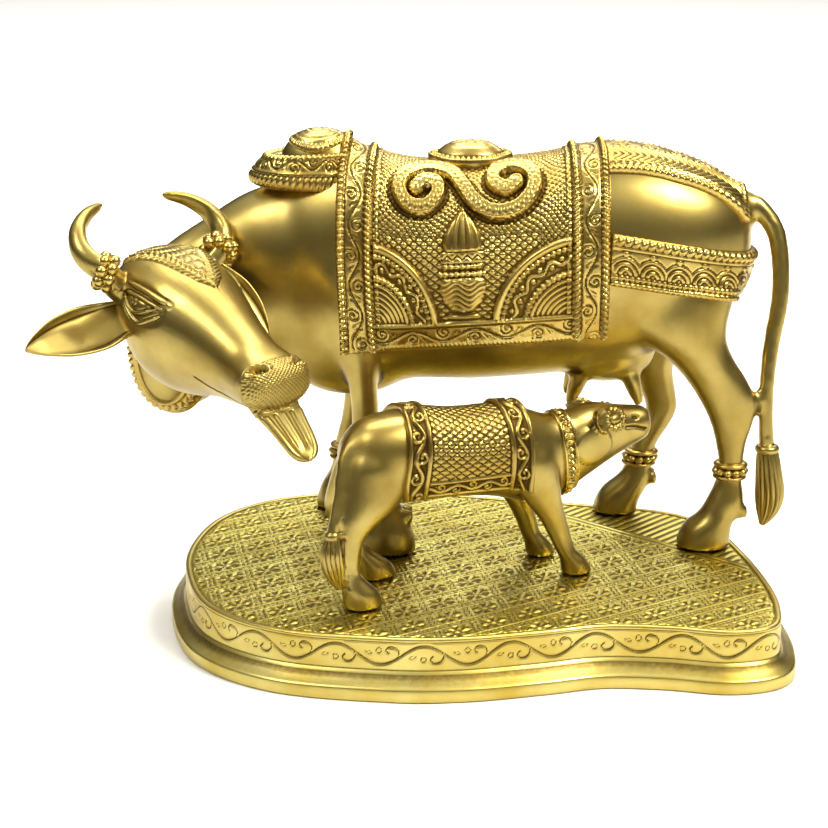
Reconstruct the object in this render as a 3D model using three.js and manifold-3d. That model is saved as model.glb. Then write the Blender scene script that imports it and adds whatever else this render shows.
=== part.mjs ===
// Cow and calf statue in cast brass: a cow stands on a low plinth, her head turned to a nursing calf.
// Millimetres. +X runs to the viewer's right along the plinth, +Y away from the viewer, +Z up.
// The origin is the middle of the plinth's underside.

import * as THREE from 'three';
import { mergeVertices } from 'three/addons/utils/BufferGeometryUtils.js';
import Module from 'manifold-3d';

const wasm = await Module();
wasm.setup();

// Plinth
const BASE_TOP = 26;
const FOOT_WALL = 6.4;
const LEDGE_TOP = 11.4;
const FOOT_OUT = 7;
const RIM_ROUND = 0.8;
const OUTLINE_STEPS = 2;
const ARRIS = 1.2;
const NECKING = 0.6;

// The rim's outline, counter-clockwise from the front: a round lobe, a slight waist and a square lobe.
const RIM = [
  [-40, -98.5], [-8, -98.5], [25, -91.5], [52, -84.5], [80, -86], [106, -91], [126, -84], [132, -62],
  [132, -32], [127, 8], [118, 44], [98, 66], [66, 76], [30, 84], [-12, 94], [-56, 98], [-96, 87],
  [-121, 62], [-132, 26], [-132, -14], [-118, -60], [-86, -88],
];

// Cow's body: the line that her spine and belly follow
const SPINE_Y = 42;
const LIMB_SIDES = 8;

// Cross slices of the body: place along X, top, underside, half width
const BODY = [
  [-96, 184, 122, 18], [-84, 198, 104, 27], [-68, 206, 95.5, 33], [-50, 210, 95, 36],
  [-40, 208, 98, 37], [-28, 205, 102.5, 38], [0, 204.5, 102.5, 40], [30, 207, 104.5, 39.5],
  [54, 211.5, 107, 39], [76, 211, 113, 38], [96, 206, 123, 34.5], [112, 199, 133, 28],
  [123, 190, 143, 19],
];
// Where the slices close on her chest and her rump, as x and z, and the bare slices next to those ends
const CHEST = { at: [-101, 155], slices: [-94, -78] };
const RUMP_END = { at: [129.5, 168], slice: 126 };

// Cuts across the neck: centre x, y, z, half width, half height
const NECK = [
  [-58, 42, 152, 31, 46], [-84, 42, 150, 28, 45.5], [-106, 41, 142, 23, 41.5],
  [-126, 36, 134, 21, 38], [-140, 24, 128.5, 20, 36.5], [-147, 10, 127.5, 17.5, 32],
  [-149.5, 2, 127, 11, 23],
];

// The cloth over her back, its two border bands with a rope along each edge, and the bands over her rump
const CLOTH = { from: -60.3, to: 60.4, drop: 122, rear: 7, hem: 12, rope: 2.5, band: 16.4 };
const LIFT = { field: 1.7, hem: 2.9, band: 3, rope: 4.2, rump: 2.6 };
const RUMP = { to: 120.5, spine: 36, spread: 9, flankTop: 175, flankFoot: 152, fall: 6 };
// How far a raised edge takes to rise: along her, in millimetres, and round her, in radians
const STEP = 0.4;
const EDGE = 0.03;
// No hem or flank band reaches past this share of the way round to the belly line
const LOWEST_HEM = 0.8 * Math.PI;
// Edges shorter than this are closed up where two shapes join
const SLIVER = 0.02;
const HUMP = { x: -70.5, z: 203, long: 20, wide: 15, tall: 17.5 };
const HUMP_BAND = { x: -77.5, long: 25.5, wide: 19, foot: 194, top: 207.5 };
const MEDAL = { x: -1.6, z: 205.5, radius: 19.5, oval: 0.8, rim: 3, dome: 9 };
// Each fan: its corner along her, which way it opens, and how wide and tall it is
const FAN = { left: [-43.5, 1, 27, 35], right: [43, -1, 33.5, 37], floor: 136, inner: 0.64, thick: 1.5 };
// The pot between the fans: height, half width, half height, depth of each of its lobes
const POT = {
  x: -3.8,
  lobes: [[177.5, 7.5, 10, 4], [165, 9, 4, 3.8], [152.5, 9.6, 7.6, 4.2], [140, 7.6, 3.2, 3]],
};
// A scroll of raised ribbon high on the cloth, as places along her and heights
const EMBLEM = [
  [-25, 194.9], [-21.5, 196.9], [-16, 196.2], [-15.5, 191.8], [-21, 187.6], [-29, 189.2], [-33, 195.4],
  [-29.5, 200.2], [-20, 201.2], [-10, 199.7], [-4, 195.3], [1.5, 189.6], [10, 186], [20, 187.7],
  [27, 194.7], [26.5, 200.7], [19, 202.3], [11, 200.9], [9.5, 197.1], [15, 194.6], [19.5, 197.1],
];
const RIBBON = 2.3;
const COLLAR = { at: [-144.5, 17, 129.5], facing: [0.5, 1, 0.1], wide: 19.5, half: 37.5, thick: 3 };
const UDDER = { x: 62, y: 41, z: 116, long: 25, wide: 20, tall: 15.5 };
// Four teats: how far apart, how far they splay on the way down, and height and radius down each
const TEAT = { along: 12, across: 10, splay: 0.33, rows: [[105, 4.6], [98, 3.6], [91.5, 2]] };

// Level slices of the cow's legs: height, front x, rear x, centre y, half depth
const LEGS = {
  nearHind: [
    [166, 70, 116, 27, 15], [150, 67, 121, 25, 17], [137, 68, 118, 22, 16], [127, 74, 116.5, 20, 14],
    [117, 88, 120, 19, 11], [107, 98, 126.5, 18, 8.6], [97, 105, 130.5, 17.5, 7.4],
    [87, 110, 130, 17, 6.4], [77, 113, 127.2, 17, 5.6], [67, 114.8, 126.2, 17, 5.2],
    [58, 113.8, 126, 17, 5.6], [49, 110, 127, 16.5, 7.5], [42, 106, 124.5, 16.5, 8.6],
    [37, 100, 122, 16.5, 10], [31, 97, 121.5, 16.5, 11], [26.3, 96, 121, 16.5, 11],
  ],
  farHind: [
    [166, 68, 114, 57, 15], [150, 66, 118, 59, 17], [135, 68, 114, 62, 16], [120, 72, 106, 63.5, 12.5],
    [103, 77, 98.5, 65, 9.6], [91, 82, 99.5, 66, 7.6], [80, 86, 101, 66.5, 6.4],
    [71, 83.5, 97.5, 67, 5.8], [62, 80, 92, 67.5, 5.4], [53, 77.5, 90, 68, 5.8],
    [45, 74, 89.5, 68, 7.6], [38, 66, 87, 68, 9.4], [32, 62.5, 84, 68, 10.4], [26.3, 61, 83, 68, 10.4],
  ],
  nearFore: [
    [160, -78, -40, 22, 15], [145, -75, -38, 20, 14.5], [132, -69, -40, 18, 12],
    [120, -62.5, -42.5, 16, 9.5], [108, -58.5, -44, 15, 7.6], [97, -56.5, -44, 14, 6.6],
    [86, -56, -43, 13, 6.8], [74, -52, -40.5, 12, 5.6], [62, -48.5, -37.5, 11, 5.2],
    [52, -46.5, -35, 10, 5.8], [45, -47.5, -31.5, 9.5, 7.6], [38, -51, -28.5, 9, 9.6],
    [32, -53, -27, 9, 10.6], [26.3, -54, -26.5, 9, 10.6],
  ],
  farFore: [
    [160, -76, -40, 62, 15], [145, -74, -39, 64, 14.5], [132, -69, -41, 65, 12],
    [120, -64, -45, 67, 9.5], [108, -61.5, -47, 68, 7.6], [97, -60.5, -48, 69, 6.6],
    [86, -61.5, -49, 70, 6.8], [74, -63, -51.5, 71, 5.6], [62, -66, -55, 72.5, 5.2],
    [52, -67.5, -55.5, 74, 5.8], [45, -69.5, -53.5, 75, 7.6], [38, -73.5, -51, 76, 9.4],
    [32, -75.5, -49.5, 76, 10.4], [26.3, -76.5, -49, 76, 10.4],
  ],
};
const ANKLET = { thick: 2.1, nearHind: 63.5, farHind: 54.5, nearFore: 56, farFore: 56 };
// The two small claws behind a fetlock
const CLAW = { z: 44, out: 0.5, apart: 3.4, size: [3, 2.2, 3.4] };

// The cow's tail: x, y, z, radius, down to the ring above its tuft
const TAIL = [
  [119, 41, 190, 5.2], [130, 40, 184.5, 4.9], [139, 37, 174, 4.4], [142, 34, 160, 4.2],
  [142, 30, 142, 4.1], [138.5, 26, 122, 3.8], [136.5, 22, 104, 3.5], [136.4, 20, 88, 3.4],
  [137.5, 19, 72, 3.7],
];
const TUFT = [
  [137.5, 19, 75, 3.6], [138.5, 18, 64, 5.4], [139.5, 17.5, 52, 6.2], [138.6, 17.5, 43, 4.6],
  [136.6, 17.5, 37, 1.6],
];
// Where the tail is cast on to the hock
const TAIL_JOINT = { at: [133, 20, 95], size: [4.6, 3, 6.5] };

// The cow's head has a frame of its own: s down the face from the poll, h across it, n out of the forehead.
const HEAD = { poll: [-137.6, -8, 166.2], yaw: 48, dip: 24, tilt: 1.5 };
// Cuts across the head: s, half width, top of the face, underside of the jaw, squareness
const SKULL = [
  [-7, 20, 4, -18, 2.2], [0, 25, 8, -29, 2.3], [10, 27, 11, -38, 2.3], [22, 27.5, 12, -42.5, 2.3],
  [34, 25, 11.5, -41, 2.2], [46, 21, 10, -35.5, 2.2], [58, 17.5, 8, -29, 2.2],
  [70, 15.5, 6.5, -25, 2.2], [81, 17, 6.5, -21.5, 2.4], [91, 16, 4.5, -19, 2.5],
];
// The skull is narrower below by this share, and closes at a point behind the poll and one on the lips.
const JAW_TAPER = 0.28;
const SKULL_ENDS = { back: [-11, 0, -5], lips: [94, 0, -8] };
const HORN = [
  [1, 24, -6, 7], [-1, 32.5, 1.5, 5.4], [-7, 37.5, 3.5, 4.9], [-14, 38.5, 6.5, 4.2], [-21, 35.5, 10, 3.2],
  [-27, 28, 13, 2.2], [-30, 21, 14, 0.9],
];
const HORN_RING = { at: [-0.8, 32.4, 1], radius: 6, thick: 2, axis: [-5, 6, 1] };
const EAR = { long: 51, wide: 10.6, thick: 3.4, hollow: 2.6 };
const EAR_NEAR = { root: [9.5, -24, -18.5], aim: [0.1, -1, -0.12], face: [0, 0, 1] };
const EAR_FAR = { root: [8, 23, -5], aim: [0.8, 0.385, -0.47], face: [0.4, -0.2, 0.8], long: 36 };
// Half width of a leaf-shaped ear as a share of its widest, at shares of its length
const EAR_SHAPE = [[-0.05, 0.5], [0.12, 0.66], [0.4, 1], [0.72, 0.78], [0.9, 0.4]];
// The tongue hangs from her lips: s, n, half width, half thickness
const TONGUE = [
  [76, -11, 6, 2.6], [86, -14, 7.8, 3], [97, -15.5, 7.4, 3], [108, -18, 6.6, 2.8], [115.5, -21, 4.2, 2],
];

// The calf's frame: s ahead of its middle, o to its far side, and height above the table
const CALF = { at: [-5, -26, 0], yaw: 23 };
// Cross slices of the calf: s, top, underside, half width
const CALF_BODY = [
  [-56, 99, 82, 9], [-50, 104.5, 73, 14.5], [-40, 107.2, 67.5, 17.5], [-28, 108, 66.5, 18.3],
  [-8, 105, 66.5, 18.5], [10, 104.5, 64.5, 18], [22, 105, 61, 17], [32, 101.5, 59, 14.5],
  [40, 98.5, 59, 12.6], [49, 98.5, 61.5, 11.4], [57, 100.5, 66, 11], [65, 101, 70.5, 10.6],
  [73, 99.4, 74.5, 9.2], [81, 98, 78, 7.8], [88, 97, 81, 7.2],
];
// Where its rump and its nose close: s and height
const CALF_ENDS = { rump: [-60, 91], nose: [92.5, 90] };
const CALF_CLOTH = { from: -37.5, middle: -8, to: 25, drop: 72, band: 11, field: 1.4, edge: 2.6 };
// Level slices of the calf's legs: height, rear s, front s, centre o, half depth
const CALF_LEGS = {
  nearHind: [
    [92, -58, -34, -10, 7.4], [80, -61, -32, -11, 7.2], [71, -64.5, -36, -12.5, 6.4],
    [64.5, -66.5, -45, -13.5, 5.4], [58, -66.5, -53, -14.5, 4.4], [50, -65.2, -56.2, -15.5, 3.8],
    [42, -64.4, -56.6, -16, 3.9], [36.5, -64.6, -52, -16, 5.6], [32.5, -64.6, -48, -16, 6.8],
    [26.3, -64, -46.3, -16, 7.2],
  ],
  farHind: [
    [92, -56, -32, 10, 7.4], [80, -59, -32, 11, 7.2], [71, -61, -36, 12.5, 6.4],
    [64, -61.5, -43, 13.5, 5.2], [57, -59.5, -46.5, 14.5, 4.3], [49, -54.5, -44.5, 15.5, 3.8],
    [41, -49.5, -40.5, 16, 3.9], [36, -46.5, -34, 16, 5.4], [32, -45.5, -29, 16, 6.6],
    [26.3, -45, -26.5, 16, 7],
  ],
  nearFore: [
    [84, 14, 38, -11, 6.4], [72, 18, 41, -12, 6], [63, 24, 42, -12.5, 5], [54, 31, 44, -13, 4.2],
    [45, 36, 46.4, -13.5, 3.8], [38, 39.4, 48.6, -14, 4.3], [33.5, 41.8, 53, -14, 5.8],
    [30, 42.6, 55.6, -14, 6.4], [26.3, 43, 57, -14, 6.6],
  ],
  farFore: [
    [84, 12, 36, 11, 6.4], [72, 16, 38, 12, 6], [63, 21, 38.5, 12.5, 5], [54, 27.5, 40, 13, 4.2],
    [45, 32.5, 42.5, 13.5, 3.8], [38, 35.4, 44.6, 14, 4.3], [33.5, 37.6, 48.4, 14, 5.8],
    [30, 38.4, 51, 14, 6.4], [26.3, 39, 52.4, 14, 6.6],
  ],
};
const CALF_TAIL = [
  [-54, -2, 99, 3.4], [-61, -5, 92, 3.1], [-65.5, -9, 80, 2.8], [-68, -13.3, 68, 2.7], [-69, -15.5, 60, 2.8],
  [-70, -16.5, 52, 4.4], [-69, -16.5, 44, 3.8], [-66.5, -16, 37, 1.2],
];
const CALF_EAR = { root: [57, 8.2, 98.2], aim: [0.05, 1, -0.62], long: 15, wide: 4.6, thick: 1.9 };
const CALF_EAR_FACE = [1, 0, 0.4];

const radians = (degrees) => degrees * Math.PI / 180;

// Rows of numbers read off a smooth curve through the given rows, several steps to each span.
function smoothRows(rows, steps) {
  const out = [];
  const row = (i) => rows[Math.min(Math.max(i, 0), rows.length - 1)];
  for (let i = 0; i < rows.length - 1; i++) {
    for (let k = 0; k < steps; k++) {
      out.push(between(row(i - 1), row(i), row(i + 1), row(i + 2), k / steps));
    }
  }
  out.push(rows[rows.length - 1].slice());
  return out;
}

function between(a, b, c, d, t) {
  return b.map((value, i) => {
    const slopeB = (c[i] - a[i]) / 2;
    const slopeC = (d[i] - b[i]) / 2;
    const t2 = t * t;
    const t3 = t2 * t;
    return value * (2 * t3 - 3 * t2 + 1) + slopeB * (t3 - 2 * t2 + t)
      + c[i] * (3 * t2 - 2 * t3) + slopeC * (t3 - t2);
  });
}

// One row of a table at a place between its rows; the first number of each row is the place.
function rowAt(rows, place) {
  const rising = rows[1][0] > rows[0][0];
  let i = 0;
  while (i < rows.length - 2 && (rising ? place > rows[i + 1][0] : place < rows[i + 1][0])) i++;
  const t = THREE.MathUtils.clamp((place - rows[i][0]) / (rows[i + 1][0] - rows[i][0]), 0, 1);
  const row = (j) => rows[Math.min(Math.max(j, 0), rows.length - 1)];
  return between(row(i - 1), row(i), row(i + 1), row(i + 2), t);
}

// A closed skin through rings of equal count, with a point over each end.
function skin(rings, startPole, endPole) {
  const sides = rings[0].length;
  const points = rings.flat();
  const index = [];
  for (let r = 0; r < rings.length - 1; r++) {
    for (let s = 0; s < sides; s++) {
      const a = r * sides + s;
      const b = r * sides + (s + 1) % sides;
      index.push(a, b, a + sides, b, b + sides, a + sides);
    }
  }
  const last = (rings.length - 1) * sides;
  points.push(startPole || middle(rings[0]), endPole || middle(rings[rings.length - 1]));
  for (let s = 0; s < sides; s++) {
    const next = (s + 1) % sides;
    index.push(points.length - 2, next, s, points.length - 1, last + s, last + next);
  }
  const geometry = new THREE.BufferGeometry();
  const places = points.flatMap((point) => point.toArray());
  geometry.setAttribute('position', new THREE.Float32BufferAttribute(places, 3));
  geometry.setIndex(index);
  return geometry;
}

function middle(ring) {
  const sum = new THREE.Vector3();
  for (const point of ring) sum.add(point);
  return sum.divideScalar(ring.length);
}

// A solid of joined or cut shapes. A skin that came out inside out is turned.
function solid(geometry) {
  const bare = geometry.clone();
  bare.deleteAttribute('normal');
  bare.deleteAttribute('uv');
  const merged = mergeVertices(bare, 1e-5);
  const index = Uint32Array.from(merged.index.array);
  if (volume(merged.attributes.position, index) < 0) {
    for (let i = 0; i < index.length; i += 3) [index[i], index[i + 1]] = [index[i + 1], index[i]];
  }
  const vertProperties = Float32Array.from(merged.attributes.position.array);
  return new wasm.Manifold(new wasm.Mesh({ numProp: 3, vertProperties, triVerts: index }));
}

function volume(position, index) {
  const [a, b, c] = [new THREE.Vector3(), new THREE.Vector3(), new THREE.Vector3()];
  let sum = 0;
  for (let i = 0; i < index.length; i += 3) {
    a.fromBufferAttribute(position, index[i]);
    b.fromBufferAttribute(position, index[i + 1]);
    c.fromBufferAttribute(position, index[i + 2]);
    sum += a.dot(b.cross(c));
  }
  return sum;
}

// One solid from many, without the slivers that the joins leave.
function join(parts) {
  return parts.map(solid).reduce((sum, part) => sum.add(part)).simplify(SLIVER);
}

function toMesh(body, name, material) {
  const out = body.getMesh();
  const geometry = new THREE.BufferGeometry();
  geometry.setAttribute('position', new THREE.Float32BufferAttribute(out.vertProperties, 3));
  geometry.setIndex(Array.from(out.triVerts));
  geometry.computeVertexNormals();
  const mesh = new THREE.Mesh(geometry, material);
  mesh.name = name;
  return mesh;
}

// A point on an oval whose squareness is 2 for a true ellipse and more for a boxier one.
function oval(angle, wide, tall, squareness = 2) {
  const power = 2 / squareness;
  const c = Math.cos(angle);
  const s = Math.sin(angle);
  return [wide * Math.sign(c) * Math.abs(c) ** power, tall * Math.sign(s) * Math.abs(s) ** power];
}

function ringOf(sides, place) {
  return Array.from({ length: sides }, (_, i) => place(i * 2 * Math.PI / sides));
}

// A tube along a path of rows x, y, z, half width, half height, kept upright.
function upright(rows, steps, sides, squareness) {
  const path = smoothRows(rows, steps);
  const up = new THREE.Vector3(0, 0, 1);
  const rings = path.map((row, i) => {
    const here = new THREE.Vector3(...row);
    const ahead = new THREE.Vector3(...path[Math.min(i + 1, path.length - 1)]);
    const tangent = ahead.sub(new THREE.Vector3(...path[Math.max(i - 1, 0)])).normalize();
    const across = new THREE.Vector3().crossVectors(up, tangent).normalize();
    const rise = new THREE.Vector3().crossVectors(tangent, across);
    return ringOf(sides, (angle) => {
      const [w, t] = oval(angle, row[3], row[4], squareness);
      return here.clone().addScaledVector(across, w).addScaledVector(rise, t);
    });
  });
  return skin(rings);
}

// A round tube along rows x, y, z, radius, that may run in any direction.
function tube(rows, steps, sides) {
  const path = smoothRows(rows, steps);
  const points = path.map((row) => new THREE.Vector3(...row));
  const across = new THREE.Vector3(0.2, 1, 0.1);
  const rings = path.map((row, i) => {
    const ahead = points[Math.min(i + 1, points.length - 1)];
    const tangent = ahead.clone().sub(points[Math.max(i - 1, 0)]).normalize();
    across.addScaledVector(tangent, -across.dot(tangent)).normalize();
    const rise = new THREE.Vector3().crossVectors(tangent, across);
    const side = across.clone();
    return ringOf(sides, (angle) => points[i].clone()
      .addScaledVector(side, row[3] * Math.cos(angle)).addScaledVector(rise, row[3] * Math.sin(angle)));
  });
  return skin(rings);
}

// A leg from level slices: height, front, rear, centre, half depth.
function leg(rows, steps) {
  const rings = smoothRows(rows, steps).map(([z, a, b, y, deep]) => ringOf(LIMB_SIDES, (angle) => {
    const [w, t] = oval(angle, (b - a) / 2, deep, 2.2);
    return new THREE.Vector3((a + b) / 2 + w, y + t, z);
  }));
  return skin(rings);
}

// A ring of metal round a leg at one height.
function anklet(rows, z, thick) {
  const [, a, b, y, deep] = rowAt(rows, z);
  const rings = [-1, 0, 1].map((level) => ringOf(8, (angle) => {
    const out = thick * (level === 0 ? 1 : 0.1);
    const [w, t] = oval(angle, (b - a) / 2 + out, deep + out);
    return new THREE.Vector3((a + b) / 2 + w, y + t, z + level * thick * 1.5);
  }));
  return skin(rings);
}

// A point on the skin of a body of cross slices, at an angle from the top, lifted off it.
function onBody(rows, centreY, x, angle, lift) {
  const [, top, under, half] = rowAt(rows, x);
  const [t, w] = oval(angle, (top - under) / 2 + lift, half + lift, 2.25);
  return new THREE.Vector3(x, centreY - w, (top + under) / 2 + t);
}

// One cross ring of a body with things laid over it. The edges are the angles from the top at which the
// lift changes, the lifts are those of the zones between them, and the counts are the zones' spans.
function dressedRing(rows, centreY, x, edges, lifts, counts) {
  const half = [];
  lifts.forEach((lift, zone) => {
    const start = zone === 0 ? 0 : edges[zone - 1] + EDGE;
    const end = zone === lifts.length - 1 ? Math.PI : edges[zone];
    for (let i = 0; i <= counts[zone]; i++) half.push([start + (end - start) * i / counts[zone], lift]);
  });
  const back = half.slice(1, -1).reverse().map(([angle, lift]) => [-angle, lift]);
  return [...half, ...back].map(([angle, lift]) => onBody(rows, centreY, x, angle, lift));
}

// Places and lifts of a cloth's rings from edge to edge: rope, band, rope, the open field, and back.
function clothPlaces(from, to, rope, band, lifts, inside) {
  const front = [[0, lifts.rope], [rope, lifts.rope], [rope + STEP, lifts.band],
    [band - rope - STEP, lifts.band], [band - rope, lifts.rope], [band, lifts.rope]];
  const field = Array.from({ length: inside + 1 }, (_, i) => {
    const start = from + band + STEP;
    return [start + (to - band - STEP - start) * i / inside, lifts.field];
  });
  const left = front.map(([d, lift]) => [from + d, lift]);
  const right = front.reverse().map(([d, lift]) => [to - d, lift]);
  return [...left, ...field, ...right];
}

function ellipsoid(x, y, z, a, b, c, across = 14, down = 9) {
  const geometry = new THREE.SphereGeometry(1, across, down);
  geometry.rotateX(Math.PI / 2);
  geometry.scale(a, b, c);
  geometry.translate(x, y, z);
  return geometry;
}

// The angle from the top at which a body's skin has come down to a given height.
function angleAt(rows, x, z) {
  let low = 0;
  let high = Math.PI;
  for (let i = 0; i < 30; i++) {
    const mid = (low + high) / 2;
    if (onBody(rows, 0, x, mid, 0).z > z) low = mid;
    else high = mid;
  }
  return low;
}

// Plinth: a foot wall, a sloping ledge and an upper wall, all following the rim's outline.
function makeBase(material) {
  const outline = smoothRows([...RIM, RIM[0], RIM[1], RIM[2]], OUTLINE_STEPS)
    .slice(OUTLINE_STEPS, OUTLINE_STEPS * (RIM.length + 1));
  const outward = (i, distance) => {
    const before = outline[(i + outline.length - 1) % outline.length];
    const after = outline[(i + 1) % outline.length];
    const along = new THREE.Vector2(after[0] - before[0], after[1] - before[1]).normalize();
    return [outline[i][0] + along.y * distance, outline[i][1] - along.x * distance];
  };
  const profile = [
    [FOOT_OUT - RIM_ROUND, 0], [FOOT_OUT, RIM_ROUND], [FOOT_OUT, FOOT_WALL - RIM_ROUND],
    [FOOT_OUT - ARRIS, FOOT_WALL], [FOOT_OUT / 3, (FOOT_WALL + LEDGE_TOP) / 2], [NECKING, LEDGE_TOP],
    [0, LEDGE_TOP + NECKING], [0, BASE_TOP - RIM_ROUND], [-RIM_ROUND, BASE_TOP],
  ];
  const rings = profile.map(([out, z]) => outline.map((_, i) => new THREE.Vector3(...outward(i, out), z)));
  const floor = new THREE.Vector3(0, 0, 0);
  const top = new THREE.Vector3(0, 0, BASE_TOP);
  return toMesh(solid(skin(rings, floor, top)), 'base', material);
}

// A frame for the cow's head, from the poll down the face.
function headFrame() {
  const yaw = radians(HEAD.yaw);
  const dip = radians(HEAD.dip);
  const level = Math.cos(dip);
  const s = new THREE.Vector3(level * Math.cos(yaw), -level * Math.sin(yaw), -Math.sin(dip));
  const h = new THREE.Vector3(Math.sin(yaw), Math.cos(yaw), 0).applyAxisAngle(s, radians(HEAD.tilt));
  const n = new THREE.Vector3().crossVectors(s, h).normalize();
  const frame = new THREE.Matrix4().makeBasis(s, h, n);
  return frame.setPosition(...HEAD.poll);
}

function skull() {
  const rings = SKULL.map(([s, half, top, under, square]) => ringOf(14, (angle) => {
    const [w, t] = oval(angle, half, (top - under) / 2, square);
    const narrow = 1 - JAW_TAPER * Math.max(0, -Math.sin(angle));
    return new THREE.Vector3(s, w * narrow, (top + under) / 2 + t);
  }));
  return skin(rings, new THREE.Vector3(...SKULL_ENDS.back), new THREE.Vector3(...SKULL_ENDS.lips));
}

// A leaf-shaped ear with a hollow in its face, along an aim from its root.
function ear(root, aim, size, faceUp) {
  const along = new THREE.Vector3(...aim).normalize();
  const across = new THREE.Vector3().crossVectors(faceUp, along).normalize();
  const face = new THREE.Vector3().crossVectors(along, across).normalize();
  const rings = EAR_SHAPE.map(([t, w]) => ringOf(8, (angle) => {
    const x = Math.cos(angle) * size.wide * w;
    const bowl = size.hollow ? size.hollow * (1 - Math.cos(angle) ** 2) * w : 0;
    const y = Math.sin(angle) * size.thick * w - (Math.sin(angle) > 0 ? bowl : 0);
    return new THREE.Vector3(...root).addScaledVector(along, t * size.long)
      .addScaledVector(across, x).addScaledVector(face, y);
  }));
  const tip = new THREE.Vector3(...root).addScaledVector(along, size.long);
  return skin(rings, null, tip);
}

function hornRing(side) {
  const ring = new THREE.TorusGeometry(HORN_RING.radius, HORN_RING.thick, 4, 8);
  const [a, b, c] = HORN_RING.axis;
  const lean = new THREE.Vector3(a, b * side, c).normalize();
  ring.applyQuaternion(new THREE.Quaternion().setFromUnitVectors(new THREE.Vector3(0, 0, 1), lean));
  const [s, h, n] = HORN_RING.at;
  return ring.translate(s, h * side, n);
}

function headParts() {
  const flip = (rows, side) => rows.map(([s, h, n, r]) => [s, h * side, n, r]);
  const parts = [skull()];
  for (const side of [-1, 1]) {
    parts.push(tube(flip(HORN, side), 1, 7), hornRing(side));
  }
  for (const own of [EAR_NEAR, EAR_FAR]) {
    parts.push(ear(own.root, own.aim, { ...EAR, ...own }, new THREE.Vector3(...own.face)));
  }
  const tongue = smoothRows(TONGUE, 1).map(([s, n, half, thick]) => ringOf(8, (angle) => {
    const [w, t] = oval(angle, half, thick, 2.4);
    return new THREE.Vector3(s + t * 0.2, w, n + t);
  }));
  parts.push(skin(tongue));
  const frame = headFrame();
  return parts.map((part) => part.applyMatrix4(frame));
}

// The cloth's lower edge rises a little towards the rump.
const clothDrop = (x) => CLOTH.drop + CLOTH.rear * (x - CLOTH.from) / (CLOTH.to - CLOTH.from);

// Her body with the cloth, and behind it a band down the spine and one round each flank.
function dressedBody() {
  const counts = [2, 2, 2, 1, 2];
  const ring = (x, lifts) => {
    const back = THREE.MathUtils.clamp((x - CLOTH.to) / (RUMP.to - CLOTH.to), 0, 1);
    const spine = radians(RUMP.spine + RUMP.spread * back);
    const top = Math.max(angleAt(BODY, x, RUMP.flankTop - RUMP.fall * back), spine + 4 * EDGE);
    const onCloth = x < CLOTH.to + STEP / 2;
    const foot = angleAt(BODY, x, onCloth ? clothDrop(x) + CLOTH.hem : RUMP.flankFoot - RUMP.fall * back);
    const hem = Math.min(angleAt(BODY, x, clothDrop(x)), LOWEST_HEM);
    const edges = [spine, top, foot, Math.max(hem, foot + 4 * EDGE)];
    return dressedRing(BODY, SPINE_Y, x, edges, lifts, counts);
  };
  const bare = [0, 0, 0, 0, 0];
  const rump = [LIFT.rump, 0, LIFT.rump, 0, 0];
  const rings = [...CHEST.slices, CLOTH.from - STEP].map((x) => ring(x, bare));
  for (const [x, lift] of clothPlaces(CLOTH.from, CLOTH.to, CLOTH.rope, CLOTH.band, LIFT, 3)) {
    rings.push(ring(x, [lift, lift, lift, Math.max(lift, LIFT.hem), 0]));
  }
  const span = RUMP.to - CLOTH.to - STEP;
  for (let i = 0; i <= 3; i++) rings.push(ring(CLOTH.to + STEP + span * i / 3, rump));
  rings.push(ring(RUMP.to + STEP, bare), ring(RUMP_END.slice, bare));
  const [chest, rear] = [CHEST.at, RUMP_END.at].map(([x, z]) => new THREE.Vector3(x, SPINE_Y, z));
  return skin(rings, chest, rear);
}

// The hump, with a flaring band round its foot.
function humpParts() {
  const hump = ellipsoid(HUMP.x, SPINE_Y, HUMP.z, HUMP.long, HUMP.wide, HUMP.tall, 12, 7);
  const { foot, top, long, wide } = HUMP_BAND;
  const levels = [[foot - 3, 0.75], [foot, 1], [top, 0.73], [top + 1, 0.5]];
  const rings = levels.map(([z, swell]) => ringOf(12, (angle) => {
    const [x, y] = oval(angle, long * swell, wide * swell);
    return new THREE.Vector3(HUMP_BAND.x + x, SPINE_Y + y, z);
  }));
  return [hump, skin(rings)];
}

function udderParts() {
  const parts = [ellipsoid(UDDER.x, UDDER.y, UDDER.z, UDDER.long, UDDER.wide, UDDER.tall, 11, 7)];
  for (const end of [-1, 1]) {
    for (const side of [-1, 1]) {
      const x = UDDER.x + end * TEAT.along;
      const y = UDDER.y + side * TEAT.across;
      const [top] = TEAT.rows[0];
      const rows = TEAT.rows.map(([z, radius]) => [x + end * TEAT.splay * (top - z), y, z, radius]);
      parts.push(tube(rows, 1, 6));
    }
  }
  return parts;
}

// Two small claws behind the fetlock.
function claws(rows) {
  const [, , rear, y] = rowAt(rows, CLAW.z);
  const x = rear + CLAW.out;
  return [-1, 1].map((side) => ellipsoid(x, y + side * CLAW.apart, CLAW.z, ...CLAW.size, 4, 3));
}

// A ring of tube round the neck where it meets the head.
function collar() {
  const hoop = new THREE.TorusGeometry(1, COLLAR.thick / COLLAR.half, 4, 16);
  hoop.scale(COLLAR.wide, COLLAR.half, COLLAR.half);
  const facing = new THREE.Vector3(...COLLAR.facing);
  const turn = new THREE.Matrix4().lookAt(new THREE.Vector3(), facing, new THREE.Vector3(0, 0, 1));
  return hoop.applyMatrix4(turn).translate(...COLLAR.at);
}

// A point on the cloth of the cow's near side, over a given place along her and height.
const onCloth = (x, z, lift) => onBody(BODY, SPINE_Y, x, angleAt(BODY, x, z), LIFT.field + lift);

// A raised cord on the cloth along pairs of x and z.
function clothCord(pairs, radius) {
  return tube(pairs.map(([x, z]) => [...onCloth(x, z, 0.2).toArray(), radius]), 1, 4);
}

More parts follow.
